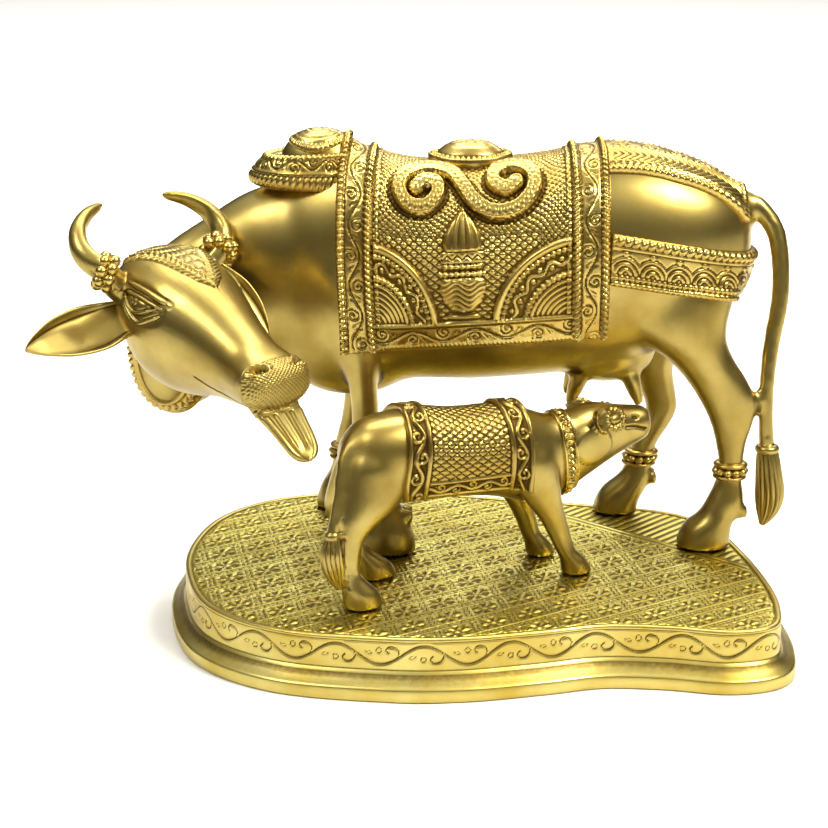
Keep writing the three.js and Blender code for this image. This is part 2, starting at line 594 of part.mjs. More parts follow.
// A quarter round fan in a lower corner of the cloth: two arcs about the corner.
function fanArcs([corner, side, wide, tall]) {
  const spans = 4;
  return [1, FAN.inner].map((share) => {
    const arc = Array.from({ length: spans + 1 }, (_, i) => {
      const angle = i / spans * Math.PI / 2;
      return [corner + side * share * wide * Math.sin(angle), FAN.floor + share * tall * Math.cos(angle)];
    });
    return clothCord(arc, FAN.thick);
  });
}

// A round pot with a leafy top, in half relief between the fans.
function potRelief() {
  return POT.lobes.map(([z, wide, tall, deep]) => {
    const at = onCloth(POT.x, z, 0);
    return ellipsoid(at.x, at.y, at.z, wide, deep, tall, 7, 4);
  });
}

// A domed disc on her back, with a rim.
function medallion() {
  const { radius, rim, dome } = MEDAL;
  const profile = [
    [0, -rim], [radius, -rim], [radius, rim], [radius * 0.86, rim], [radius * 0.5, dome * 0.8], [0, dome],
  ];
  const disc = new THREE.LatheGeometry(profile.map(([r, z]) => new THREE.Vector2(r, z)), 12);
  disc.rotateX(Math.PI / 2);
  return disc.scale(1, MEDAL.oval, 1).translate(MEDAL.x, SPINE_Y, MEDAL.z);
}

function makeCow(material) {
  const parts = [
    dressedBody(),
    upright(NECK, 1, 12, 2.1),
    tube(TAIL, 1, 7),
    tube(TUFT, 1, 8),
    ellipsoid(...TAIL_JOINT.at, ...TAIL_JOINT.size, 6, 4),
    ...humpParts(),
    ...udderParts(),
    ...headParts(),
    collar(),
    medallion(),
    ...potRelief(),
    clothCord(EMBLEM, RIBBON),
    ...fanArcs(FAN.left),
    ...fanArcs(FAN.right),
  ];
  for (const [name, rows] of Object.entries(LEGS)) {
    parts.push(leg(rows, 1), anklet(rows, ANKLET[name], ANKLET.thick), ...claws(rows));
  }
  return toMesh(join(parts), 'cow', material);
}

// The calf's body with a cloth like the cow's, but with no ropes.
function calfBody() {
  const { from, to, band, drop, field, edge } = CALF_CLOTH;
  const ring = (s, lift) => {
    const hem = Math.min(angleAt(CALF_BODY, s, drop), LOWEST_HEM);
    return dressedRing(CALF_BODY, 0, s, [hem], [lift, 0], [4, 2]);
  };
  const places = [
    [from, edge], [from + band, edge], [from + band + STEP, field], [CALF_CLOTH.middle, field],
    [to - band - STEP, field], [to - band, edge], [to, edge],
  ];
  const bare = CALF_BODY.map(([s]) => [s, 0]);
  const before = bare.filter(([s]) => s < from);
  const after = bare.filter(([s]) => s > to);
  const all = [...before, [from - STEP, 0], ...places, [to + STEP, 0], ...after];
  const [rump, nose] = [CALF_ENDS.rump, CALF_ENDS.nose].map(([s, z]) => new THREE.Vector3(s, 0, z));
  return skin(all.map(([s, lift]) => ring(s, lift)), rump, nose);
}

function makeCalf(material) {
  const parts = [calfBody(), tube(CALF_TAIL, 1, 7)];
  for (const side of [-1, 1]) {
    const [s, o, z] = CALF_EAR.root;
    const [a, b, c] = CALF_EAR.aim;
    parts.push(ear([s, o * side, z], [a, b * side, c], CALF_EAR, new THREE.Vector3(...CALF_EAR_FACE)));
  }
  for (const rows of Object.values(CALF_LEGS)) parts.push(leg(rows, 1));
  const mesh = toMesh(join(parts), 'calf', material);
  mesh.position.set(...CALF.at);
  mesh.rotation.z = radians(CALF.yaw);
  return mesh;
}

const brass = (name) => {
  const material = new THREE.MeshStandardMaterial({ color: 0xc9a43a, roughness: 0.32, metalness: 1 });
  material.name = name;
  return material;
};

const group = new THREE.Group();
group.add(makeBase(brass('base')), makeCow(brass('cow')), makeCalf(brass('calf')));

export default group;
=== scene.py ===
# %% [markdown]
# # A brass cow and calf
#
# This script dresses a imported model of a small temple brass: a humped cow in a saddle cloth, her calf, and
# the plinth that they stand on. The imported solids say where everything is. Here each of them gets its
# finished skin: the smooth cast animals, the chased cloth with its ropes of beads, and the carpet cut into
# the plinth.
#
# The work is in millimetres, because that is how a caster measures, and one factor turns it to metres.

# %% Load the frame
import math
from functools import reduce

import bmesh
import bpy
import numpy as np
from mathutils import Matrix, Vector
from mathutils.bvhtree import BVHTree


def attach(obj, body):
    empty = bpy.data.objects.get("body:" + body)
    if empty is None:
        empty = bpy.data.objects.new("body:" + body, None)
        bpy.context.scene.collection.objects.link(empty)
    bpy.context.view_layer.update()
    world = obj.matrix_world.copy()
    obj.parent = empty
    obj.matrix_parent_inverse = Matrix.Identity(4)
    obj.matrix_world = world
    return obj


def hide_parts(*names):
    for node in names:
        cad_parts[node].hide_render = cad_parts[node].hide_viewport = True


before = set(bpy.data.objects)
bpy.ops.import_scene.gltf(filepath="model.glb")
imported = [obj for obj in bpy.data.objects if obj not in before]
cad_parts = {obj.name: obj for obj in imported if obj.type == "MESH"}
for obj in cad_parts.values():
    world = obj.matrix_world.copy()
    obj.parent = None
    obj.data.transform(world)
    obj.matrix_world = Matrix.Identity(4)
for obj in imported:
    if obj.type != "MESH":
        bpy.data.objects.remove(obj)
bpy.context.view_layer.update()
MM = 0.001
TURN = 2 * math.pi
print("nodes:", sorted(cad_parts))


# %% [markdown]
# ## The photographer's table
#
# The brass stands on a plain pale table under soft lamps. Polished metal shows nothing but its
# surroundings, so the lamps are large, and the room around them goes from bright above to dim at eye level.
# That dim band is what draws the brown edges on the golden skin. The plain Standard view keeps the brass
# yellow and the table white, as a shop's photo shows them. The camera looks down 16 degrees from about 0.87
# m.

# %% Helpers for colours, materials and objects
def colour(code):
    """An sRGB hex colour as the linear values that Blender's shaders work in."""
    parts = [int(code[i:i + 2], 16) / 255 for i in (1, 3, 5)]
    return tuple(c / 12.92 if c <= 0.04045 else ((c + 0.055) / 1.055)**2.4 for c in parts) + (1.0,)


def new_material(name):
    material = bpy.data.materials.new(name)
    material.use_nodes = True
    return material.node_tree, material


def node(tree, kind, settings=None, **links):
    """Adds a node. Plain values go to its sockets, sockets of other nodes are linked to them."""
    made = tree.nodes.new("ShaderNode" + kind)
    for key, value in (settings or {}).items():
        setattr(made, key, value)
    for key, value in links.items():
        socket = made.inputs[int(key[1:]) if key[1:].isdigit() else key.replace("_", " ")]
        if isinstance(value, bpy.types.NodeSocket):
            tree.links.new(value, socket)
        else:
            socket.default_value = value
    return made


def new_object(name, data):
    made = bpy.data.objects.new(name, data)
    bpy.context.scene.collection.objects.link(made)
    return made


def as_object(bm, name):
    mesh = bpy.data.meshes.new(name)
    bm.to_mesh(mesh)
    bm.free()
    return new_object(name, mesh)


# %% Camera, lamps and floor
FOCAL_PX, PHOTO_PX = 1990, 828
GROUP = (0, 0, 0.1)
FLOOR_Z = -0.0002
camera = new_object("camera", bpy.data.cameras.new("camera"))
camera.location = (-0.0275, -0.871, 0.345)
camera.rotation_euler = (math.radians(74), 0, 0)
camera.data.sensor_width = 36
camera.data.lens = FOCAL_PX / PHOTO_PX * camera.data.sensor_width
bpy.context.scene.camera = camera


def lamp(name, place, aim, size, watts, tint="#FFFFFF"):
    light = new_object(name, bpy.data.lights.new(name, "AREA"))
    light.data.shape = "RECTANGLE"
    light.data.size, light.data.size_y = size
    light.data.energy = watts
    light.data.color = colour(tint)[:3]
    light.location = place
    light.rotation_euler = (Vector(aim) - Vector(place)).to_track_quat("-Z", "Y").to_euler()


lamp("key", (0.85, -0.5, 1.3), GROUP, (0.5, 0.5), 23, "#FFFCF2")
lamp("fill", (-0.75, -0.5, 1.3), GROUP, (0.45, 0.45), 8, "#F8FAFF")
lamp("top", (0.0, 0.4, 1.3), GROUP, (1.0, 0.4), 12)
lamp("back", (0.3, 1.3, 0.9), GROUP, (1.2, 0.25), 5)
lamp("wash", (0.0, 1.2, 1.6), (0, 4.2, 0), (3.0, 1.2), 140)

world = bpy.data.worlds.new("room")
world.use_nodes = True
bpy.context.scene.world = world
tree = world.node_tree
sky = node(tree, "TexCoord").outputs["Generated"]
height = node(tree, "SeparateXYZ", _0=sky)
walls = node(tree, "TexNoise", Vector=sky, Scale=2.1, Detail=1.0)
tilt = node(tree, "Math", {"operation": "MULTIPLY_ADD"}, _0=walls.outputs["Fac"], _1=0.5,
            _2=height.outputs["Z"])
ramp = node(tree, "ValToRGB", Fac=tilt.outputs[0])
stops = ramp.color_ramp.elements
stops[0].position, stops[0].color = 0.0, colour("#57503F")
stops[1].position, stops[1].color = 1.0, colour("#F4F2EA")
for place, tint in ((0.24, "#3A3426"), (0.46, "#4C4636"), (0.66, "#918B78")):
    stops.new(place).color = colour(tint)
tree.links.new(ramp.outputs["Color"], tree.nodes["Background"].inputs["Color"])
tree.nodes["Background"].inputs["Strength"].default_value = 0.7
bpy.context.scene.view_settings.view_transform = "Standard"

bm = bmesh.new()
bmesh.ops.create_grid(bm, x_segments=1, y_segments=1, size=8)
table = as_object(bm, "table")
table.location.z = FLOOR_Z
tree, painted_table = new_material("matt_white_table")
coords = node(tree, "TexCoord")
grain = node(tree, "TexNoise", Vector=coords.outputs["Object"], Scale=900.0)
rough = node(tree, "MapRange", Value=grain.outputs["Fac"], To_Min=0.6, To_Max=0.75)
surface = tree.nodes["Principled BSDF"]
surface.inputs["Base Color"].default_value = colour("#F6F4F0")
tree.links.new(rough.outputs[0], surface.inputs["Roughness"])
table.data.materials.append(painted_table)
print("camera looks from", [round(c, 3) for c in camera.location])


# %% [markdown]
# ## Rows of numbers
#
# Every organic form here is a row of cuts, like the slices of a loaf. A smooth curve through the rows gives
# as many cuts as the surface needs, so a few numbers describe a leg. Catmull and Rom's spline is used
# because it passes through each row exactly, and the rows are then real sizes that can be measured on the
# casting.

# %% Smooth rows
def smooth_rows(rows, steps):
    """Rows read off a smooth curve through the given rows, several steps to each span."""
    rows = np.array(rows, float)
    padded = np.vstack([rows[:1], rows, rows[-1:]])
    made = []
    for i in range(len(rows) - 1):
        a, b, c, d = padded[i:i + 4]
        for t in np.arange(steps) / steps:
            slope_b, slope_c = (c - a) / 2, (d - b) / 2
            made.append(b * (2 * t**3 - 3 * t**2 + 1) + slope_b * (t**3 - 2 * t**2 + t)
                        + c * (3 * t**2 - 2 * t**3) + slope_c * (t**3 - t**2))
    made.append(rows[-1])
    return np.array(made)


def row_at(rows, places):
    """The smooth rows' other columns at given values of their first column."""
    fine = smooth_rows(rows, 8)
    if fine[0, 0] > fine[-1, 0]:
        fine = fine[::-1]
    return np.stack([np.interp(places, fine[:, 0], fine[:, k]) for k in range(1, fine.shape[1])], -1)


def oval(angles, wide, tall, squareness=2.0):
    """Points of an oval. A squareness of 2 is an ellipse, and more is boxier."""
    c, s = np.cos(angles), np.sin(angles)
    power = 2 / squareness
    return wide * np.sign(c) * np.abs(c)**power, tall * np.sign(s) * np.abs(s)**power


def unit(vectors):
    return vectors / np.linalg.norm(vectors, axis=-1, keepdims=True)


def legs_of(path):
    """Lengths of the legs between a path's points."""
    return np.linalg.norm(np.diff(path, axis=0), axis=1)


def lengths(path):
    """Distance along a path to each of its points."""
    return np.concatenate([[0], np.cumsum(legs_of(path))])


# %% [markdown]
# ## From cuts to a skin
#
# A loft is a flat grid rolled into a tube, with each row pulled to the shape of its cut, its seam welded
# and its ends closed. The limbs of the cow are separate lofts that simply push into each other. A voxel
# remesh then melts them into one skin, as wax does when the sculptor's pieces are joined, and a few rounds
# of smoothing rub the joins away.

# %% Loft, melt and relax
PUSH_BACK = 1.04


def border(bm):
    return [e for e in bm.edges if e.is_boundary]


def loft(bm, rings, place=lambda ring: ring):
    """One closed skin through rings of points in millimetres. place moves them into the part's frame."""
    rings = np.asarray([place(ring) for ring in rings], float) * MM
    rows, sides = rings.shape[:2]
    for vert in bmesh.ops.create_grid(bm, x_segments=sides, y_segments=rows - 1, size=1)["verts"]:
        i, j = round((vert.co.x + 1) / 2 * sides) % sides, round((vert.co.y + 1) / 2 * (rows - 1))
        vert.co = Vector(rings[j, i])
    bmesh.ops.remove_doubles(bm, verts=[v for v in bm.verts if v.is_boundary], dist=1e-7)
    bmesh.ops.poke(bm, faces=bmesh.ops.holes_fill(bm, edges=border(bm), sides=0)["faces"])


def closed(bm):
    """Turns all faces of closed skins outwards."""
    bmesh.ops.recalc_face_normals(bm, faces=bm.faces)
    return bm


def melt(piece, voxel):
    """Joins every closed skin of a piece into one by a voxel remesh."""
    modifier = piece.modifiers.new("melt", "REMESH")
    modifier.mode = "VOXEL"
    modifier.voxel_size = voxel * MM
    graph = bpy.context.evaluated_depsgraph_get()
    mesh = bpy.data.meshes.new_from_object(piece.evaluated_get(graph))
    piece.modifiers.clear()
    old, piece.data = piece.data, mesh
    bpy.data.meshes.remove(old)
    mesh.name = piece.name
    return piece


def per_point(mesh, what):
    values = np.empty(len(mesh.vertices) * 3, np.float32)
    mesh.vertices.foreach_get(what, values)
    return values.reshape(-1, 3).astype(float)


def points_of(mesh):
    return per_point(mesh, "co") / MM


def set_points(mesh, points):
    mesh.vertices.foreach_set("co", (np.asarray(points) * MM).astype(np.float32).ravel())
    mesh.update()


def averager(mesh):
    """A function that gives the mean of each point's neighbours."""
    count = len(mesh.vertices)
    ends = np.empty(len(mesh.edges) * 2, np.int32)
    mesh.edges.foreach_get("vertices", ends)
    a, b = ends.reshape(-1, 2).T
    share = (np.bincount(a, minlength=count) + np.bincount(b, minlength=count))[:, None]
    return lambda p: np.stack([np.bincount(a, p[b, k], count) + np.bincount(b, p[a, k], count)
                               for k in range(3)], 1) / share


def relax(piece, rounds, weight=None, keep=0.0):
    """Rubs a skin smooth. keep of 1 holds its volume by pushing back after each rub."""
    points, mean = points_of(piece.data), averager(piece.data)
    amount = np.full((len(points), 1), 0.5) if weight is None else 0.5 * weight(points)[:, None]
    for _ in range(rounds):
        for push in (1.0, -PUSH_BACK * keep):
            if push:
                points += push * amount * (mean(points) - points)
    set_points(piece.data, points)
    return piece


def refine(piece, chosen):
    """Splits the faces of a region once more, so that it takes finer marks, and rubs them smooth."""
    bm = bmesh.new()
    bm.from_mesh(piece.data)
    mask = chosen(points_of(piece.data))
    edges = [e for e in bm.edges if mask[e.verts[0].index] and mask[e.verts[1].index]]
    bmesh.ops.subdivide_edges(bm, edges=edges, cuts=1, use_grid_fill=True)
    bm.to_mesh(piece.data)
    bm.free()
    return relax(piece, 3, weight=lambda p: chosen(p).astype(float), keep=1.0)


def carve(piece, chosen, marks):
    """Splits a region once more and pushes its points along their normals by the height of its marks."""
    mesh = refine(piece, chosen).data
    points, normals = points_of(mesh), per_point(mesh, "normal")
    set_points(mesh, points + normals * marks(points, normals)[:, None])
    return piece


def finish_piece(piece, replaces=()):
    """Every finished piece is shaded smooth, rides on the only body and hides the imported parts that it
    replaces.
    """
    for polygon in piece.data.polygons:
        polygon.use_smooth = True
    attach(piece, "root")
    if replaces:
        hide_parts(*replaces)
    piece.data.calc_loop_triangles()
    low, high = points_of(piece.data).min(0).round(1), points_of(piece.data).max(0).round(1)
    print(f"{piece.name}: {len(piece.data.loop_triangles)} triangles, from {low} to {high} mm")
    return piece


# %% [markdown]
# ## A chaser's marks
#
# A chaser works wax or metal with a few punches: a bead, a slanted bead for rope, a line, a grid and a
# curl. The same handful is written here as heights over distances in millimetres. All ornament on the group
# is made from them, and no mark stands more than four millimetres proud.

# %% Punches
def dome(distance, half):
    """A round hump of height 1 within a half width."""
    return np.sqrt(np.clip(1 - (distance / half)**2, 0, 1))


def groove(distance, half):
    """A soft notch of depth 1 within a half width."""
    return np.clip(1 - (distance / half)**2, 0, 1)**1.5


def edge(distance, soft=0.5):
    """Goes from 0 outside to 1 inside a form, across a soft border."""
    t = np.clip(distance / soft + 0.5, 0, 1)
    return t * t * (3 - 2 * t)


def band(across, low, high, soft=0.5):
    """1 between two borders and 0 outside."""
    return edge(across - low, soft) * edge(high - across, soft)


def over(height, marks, share):
    """Marks laid over a height, where their share is 1."""
    return height * (1 - share) + marks * share


def highest(*heights):
    return reduce(np.maximum, heights)


def ripple(along, pitch):
    """Even waves between 0 and 1."""
    return 0.5 + 0.5 * np.cos(TURN * along / pitch)


def from_nearest(along, pitch=1):
    """Signed distance to the nearest of many places, a pitch apart."""
    return (along / pitch - np.round(along / pitch)) * pitch


def beads(along, across, pitch, radius):
    return dome(np.hypot(from_nearest(along, pitch), across), radius)


def rope(along, across, pitch, half, slant=0.55):
    """A row of slanted oval beads."""
    near = from_nearest(along + slant * across, pitch)
    return dome(across, half) * (0.1 + 0.9 * dome(near, pitch * 0.52))


def scales(a, b, pitch):
    """Small raised pyramids in a diagonal grid."""
    p, q = (np.abs(from_nearest(c / math.sqrt(2) / pitch)) for c in (a + b, a - b))
    return np.clip(1.25 * (1 - 2 * np.maximum(p, q)), 0, 1)


def zigzag(along, across, pitch, tall, half):
    saw = (np.abs(2 * (along / pitch - np.floor(along / pitch)) - 1) - 0.5) * tall
    return groove((across - saw) / math.hypot(1, 2 * tall / pitch), half)


def curl(a, b, turns, reach, half):
    """A spiral line about a point."""
    r, angle = np.hypot(a, b), np.arctan2(b, a)
    gap = reach / turns
    return groove(from_nearest(r / gap - angle / TURN) * gap, half) * (r < reach)


def off_wave(along, across, wave, swing):
    """Distance from a plain wave, square to it."""
    phase = TURN * along / wave
    slope = swing * TURN / wave * np.cos(phase)
    return (across - swing * np.sin(phase)) / np.hypot(1, slope)


def bends(along, wave):
    """Distance along a wave from its nearest bend, and the side that this bend goes to."""
    bend = along / wave * 2 - 0.5
    nearest = np.round(bend)
    return (bend - nearest) * wave / 2, np.where(nearest % 2 == 0, 1.0, -1.0)


def vine(along, across, wave, swing, stem, leaf=2.6):
    """A wavy stem with a curled, hatched leaf in each bend. All of it is cut."""
    off = off_wave(along, across, wave, swing)
    a, hand = bends(along, wave)
    b = across + hand * swing * 0.62
    in_leaf = edge(leaf + 0.6 - np.hypot(a * 0.8, b), 0.8)
    leaves = curl(a, b * hand, 1.6, leaf + 0.5, 0.55) * 0.9
    tendril = edge(3.4 - np.abs(a - wave * 0.16), 1.0) * edge(swing * 0.95 - np.abs(across), 1.0)
    hatch = ripple(a + 0.7 * hand * b, 1.7)
    side = hatch * tendril * (1 - in_leaf) * edge(np.abs(off) - 0.9, 0.6) * 0.5
    return -groove(off, stem) - leaves - side


def line_distance(a, b, corners, steps=5):
    """Distance from each place to a smooth line through corners, and how far along the line it is nearest."""
    path = smooth_rows(corners, steps)
    legs, along = legs_of(path), lengths(path)
    best = np.full(np.shape(a), 1e9)
    where = np.zeros(np.shape(a))
    for i, (p, d) in enumerate(zip(path, np.diff(path, axis=0))):
        t = np.clip(((a - p[0]) * d[0] + (b - p[1]) * d[1]) / max(legs[i]**2, 1e-9), 0, 1)
        gap = np.hypot(a - p[0] - t * d[0], b - p[1] - t * d[1])
        closer = gap < best
        best = np.where(closer, gap, best)
        where = np.where(closer, along[i] + t * legs[i], where)
    return best, where


# %% [markdown]
# ## The cow's measurements
#
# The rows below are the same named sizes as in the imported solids: her body from chest to rump, the neck
# that curls round to the viewer, the four legs, the tail. X runs along her, Y away from the viewer and Z
# up.

# %% Body, neck, legs and tail
SPINE_Y = 42
ROUNDNESS = 2.25
BODY = [
    [-101, 156, 154, 1], [-99, 176, 133, 10], [-96, 184, 122, 18], [-84, 198, 104, 27], [-68, 206, 95.5, 33],
    [-50, 210, 95, 36], [-40, 208, 98, 37], [-28, 205, 102.5, 38], [0, 204.5, 102.5, 40],
    [30, 207, 104.5, 39.5], [54, 211.5, 107, 39], [76, 211, 113, 38], [96, 206, 123, 34.5],
    [112, 199, 133, 28], [123, 190, 143, 19], [128, 180, 154, 10], [129.5, 169, 167, 1],
]
NECK = [
    [-58, 42, 152, 31, 46], [-84, 42, 150, 28, 45.5], [-106, 41, 142, 23, 41.5], [-126, 36, 134, 21, 38],
    [-137.5, 25, 127, 21.5, 36.5], [-140.5, 16, 126, 18.5, 33], [-142.5, 9, 126, 13.5, 25],
    [-144.5, 4, 126, 6.5, 12], [-145.3, 1.5, 126, 2, 4],
]
LEGS = {
    "near_hind": [
        [166, 70, 116, 27, 15], [150, 67, 121, 25, 17], [137, 68, 118, 22, 16], [127, 74, 116.5, 20, 14],
        [117, 88, 120, 19, 11], [107, 98, 126.5, 18, 8.6], [97, 105, 130.5, 17.5, 7.4],
        [87, 110, 130, 17, 6.4], [77, 113, 127.2, 17, 5.6], [67, 114.8, 126.2, 17, 5.2],
        [58, 113.8, 126, 17, 5.6], [49, 110, 127, 16.5, 7.5], [42, 106, 124.5, 16.5, 8.6],
        [37, 100, 122, 16.5, 10], [31, 97, 121.5, 16.5, 11], [26.3, 96, 121, 16.5, 11],
    ],
    "far_hind": [
        [166, 68, 114, 57, 15], [150, 66, 118, 59, 17], [135, 68, 114, 62, 16], [120, 72, 106, 63.5, 12.5],
        [103, 77, 98.5, 65, 9.6], [91, 82, 99.5, 66, 7.6], [80, 86, 101, 66.5, 6.4],
        [71, 83.5, 97.5, 67, 5.8], [62, 80, 92, 67.5, 5.4], [53, 77.5, 90, 68, 5.8],
        [45, 74, 89.5, 68, 7.6], [38, 66, 87, 68, 9.4], [32, 62.5, 84, 68, 10.4], [26.3, 61, 83, 68, 10.4],
    ],
    "near_fore": [
        [160, -78, -40, 22, 15], [145, -75, -38, 20, 14.5], [132, -69, -40, 18, 12],
        [120, -62.5, -42.5, 16, 9.5], [108, -58.5, -44, 15, 7.6], [97, -56.5, -44, 14, 6.6],
        [86, -56, -43, 13, 6.8], [74, -52, -40.5, 12, 5.6], [62, -48.5, -37.5, 11, 5.2],
        [52, -46.5, -35, 10, 5.8], [45, -47.5, -31.5, 9.5, 7.6], [38, -51, -28.5, 9, 9.6],
        [32, -53, -27, 9, 10.6], [26.3, -54, -26.5, 9, 10.6],
    ],
    "far_fore": [
        [160, -76, -40, 62, 15], [145, -74, -39, 64, 14.5], [132, -69, -41, 65, 12],
        [120, -64, -45, 67, 9.5], [108, -61.5, -47, 68, 7.6], [97, -60.5, -48, 69, 6.6],
        [86, -61.5, -49, 70, 6.8], [74, -63, -51.5, 71, 5.6], [62, -66, -55, 72.5, 5.2],
        [52, -67.5, -55.5, 74, 5.8], [45, -69.5, -53.5, 75, 7.6], [38, -73.5, -51, 76, 9.4],
        [32, -75.5, -49.5, 76, 10.4], [26.3, -76.5, -49, 76, 10.4],
    ],
}
TAIL = [
    [119, 41, 190, 5.2], [130, 40, 184.5, 4.9], [139, 37, 174, 4.4], [142, 34, 160, 4.2],
    [142, 30, 142, 4.1], [138.5, 26, 122, 3.8], [136.5, 22, 104, 3.5], [136.4, 20, 88, 3.4],
    [137.5, 19, 72, 3.7],
]
TUFT = [
    [137.5, 19, 76, 3.2], [137.6, 18.9, 73, 4.4], [138.5, 18, 64, 5.6], [139.5, 17.5, 52, 6.4],
    [138.6, 17.5, 43, 4.8], [136.6, 17.5, 36, 1.2],
]
print("cow's height at the saddle:", BODY[10][1], "mm")


# %% [markdown]
# ## Kinds of limb
#
# Three ways of cutting are enough for both animals: level cuts for a leg, upright cuts for the trunk and
# neck, and round cuts square to the path for a tail, a horn or a teat.

# %% Limb makers
def turned(count):
    return np.arange(count) * TURN / count


def ways_along(path):
    """The direction of a path at each of its points."""
    for i in range(len(path)):
        before, after = path[max(i - 1, 0)], path[min(i + 1, len(path) - 1)]
        yield (Vector(after[:3]) - Vector(before[:3])).normalized()


def ring_at(centre, across, rise, w, t):
    return np.array(centre) + np.outer(w, across) + np.outer(t, rise)


def trunk_rings(rows, centre_y, steps=3, sides=40):
    """Upright cuts across X: place, top, underside and half width."""
    rings = []
    for x, top, under, half in smooth_rows(rows, steps):
        up, across = oval(turned(sides), (top - under) / 2, half, ROUNDNESS)
        rings.append(np.stack([np.full(sides, x), centre_y - across, (top + under) / 2 + up], 1))
    return rings


def upright_rings(rows):
    """Cuts square to a level path: x, y, z, half width, half height."""
    path = smooth_rows(rows, 4)
    rings = []
    for (x, y, z, wide, tall), ahead in zip(path, ways_along(path)):
        across = Vector((0, 0, 1)).cross(ahead).normalized()
        rings.append(ring_at([x, y, z], across, ahead.cross(across), *oval(turned(36), wide, tall, 2.1)))
    return rings


def tube_rings(rows, steps=3, sides=16):
    """Round cuts square to any path: x, y, z, radius."""
    path = smooth_rows(rows, steps)
    across = Vector((0.2, 1, 0.1))
    rings = []
    for (x, y, z, radius), ahead in zip(path, ways_along(path)):
        across = (across - ahead * across.dot(ahead)).normalized()
        rings.append(ring_at([x, y, z], across, ahead.cross(across), *oval(turned(sides), radius, radius)))
    return rings


def leg_rings(rows, steps=3, sides=22):
    """Level cuts: height, front, rear, centre and half depth."""
    rings = []
    for z, front, rear, y, deep in smooth_rows(rows, steps):
        w, t = oval(turned(sides), (rear - front) / 2, deep, 2.2)
        rings.append(np.stack([(front + rear) / 2 + w, y + t, np.full(sides, z)], 1))
    return rings


def ball(bm, centre, size, detail=3):
    """A ball stretched to three half sizes, in millimetres."""
    stretch = Matrix.Diagonal((*(Vector(size) * MM), 1))
    place = Matrix.Translation(Vector(centre) * MM) @ stretch
    bmesh.ops.create_icosphere(bm, subdivisions=detail, radius=1, matrix=place)


# %% [markdown]
# ## The cow's skin
#
# Trunk, neck, hump, legs, udder and tail go into one mesh and are melted together. The trunk is rubbed
# harder than the legs, because the joins at shoulder and thigh are broad and the shins are thin.

# %% Melt the cow
HUMP = {"x": -70.5, "z": 203, "long": 20, "wide": 15, "tall": 17.5}
UDDER = {"x": 62, "y": 41, "z": 116, "long": 25, "wide": 20, "tall": 15.5}
TEAT = {"along": 12, "across": 10, "splay": 0.33, "rows": [[105, 4.6], [98, 3.6], [92, 2.2], [91, 1.2]]}
TAIL_JOINT = {"at": (133, 20, 95), "size": (4.6, 3, 6.5)}
CLAW = {"z": 44, "out": 0.5, "apart": 3.6, "size": (3.2, 2.4, 3.8)}
COW_VOXEL, HEAD_VOXEL, CALF_VOXEL = 1.6, 0.85, 1.05


def cow_skin():
    bm = bmesh.new()
    loft(bm, trunk_rings(BODY, SPINE_Y))
    loft(bm, upright_rings(NECK))
    loft(bm, tube_rings(TAIL, 4))
    for rows in LEGS.values():
        loft(bm, leg_rings(rows))
        x, y = row_at(rows, CLAW["z"])[[1, 2]]
        for side in (-1, 1):
            ball(bm, (x + CLAW["out"], y + side * CLAW["apart"], CLAW["z"]), CLAW["size"], detail=2)
    ball(bm, (HUMP["x"], SPINE_Y, HUMP["z"]), (HUMP["long"], HUMP["wide"], HUMP["tall"]))
    ball(bm, (UDDER["x"], UDDER["y"], UDDER["z"]), (UDDER["long"], UDDER["wide"], UDDER["tall"]))
    ball(bm, TAIL_JOINT["at"], TAIL_JOINT["size"], detail=2)
    for end in (-1, 1):
        for side in (-1, 1):
            x, y = UDDER["x"] + end * TEAT["along"], UDDER["y"] + side * TEAT["across"]
            top = TEAT["rows"][0][0]
            loft(bm, tube_rings([[x + end * TEAT["splay"] * (top - z), y, z, r] for z, r in TEAT["rows"]]))
    piece = melt(as_object(closed(bm), "cow_skin"), COW_VOXEL)
    relax(piece, 26, weight=lambda p: np.clip((p[:, 2] - 100) / 25, 0, 1) * (p[:, 0] < 132))
    return relax(piece, 6, keep=1.0)


skin = cow_skin()
finish_piece(skin, ["cow"])


# %% [markdown]
# ## The head
#
# The head is the face of the whole piece, so it is modelled by itself at twice the fineness. It has its own
# frame: s runs down the nose from the poll, h runs across and n stands out of the forehead. The frame is
# turned towards the viewer, dipped and tilted a little, and the rows of the skull are cuts square to s.

# %% Head frame and skull rows
HEAD = {"poll": (-137.6, -8, 166.2), "yaw": 48, "dip": 24, "tilt": 1.5}
SKULL = [
    [-11, 3, -2, -8, 2.1], [-10.4, 10, 1.5, -12, 2.1], [-7, 20, 4.4, -18.5, 2.2], [0, 25, 8, -29, 2.3],
    [10, 27, 11, -40, 2.3], [22, 27.5, 12, -45.5, 2.3], [34, 25, 11.5, -44.5, 2.2], [46, 21, 10, -39, 2.2],
    [58, 17.5, 8, -31, 2.2], [70, 15.5, 6.5, -25.5, 2.2], [81, 16.8, 6.5, -20, 2.4],
    [88, 16.8, 5.6, -16.5, 2.5],
    [92, 14, 3, -13.5, 2.4], [94, 8.5, -1.5, -10, 2.2], [94.4, 2, -5, -7, 2.0],
]
JAW_TAPER = 0.22
HORN = [
    [3, 20, -8, 7.0], [0.5, 25, -5, 6.6], [-2, 31.8, 2.4, 5.8], [-7.5, 35.6, 4.6, 5.5], [-14, 36.4, 7.2, 4.9],
    [-21, 33.5, 10.6, 4.1], [-27, 26.5, 13.2, 3.2], [-30.4, 19, 14.2, 2.1], [-31.4, 16.2, 14.3, 1.0],
]
EAR_SHAPE = [[-0.05, 0.66], [0.1, 0.84], [0.34, 1], [0.62, 0.86], [0.83, 0.52], [0.94, 0.26], [1.0, 0.06]]
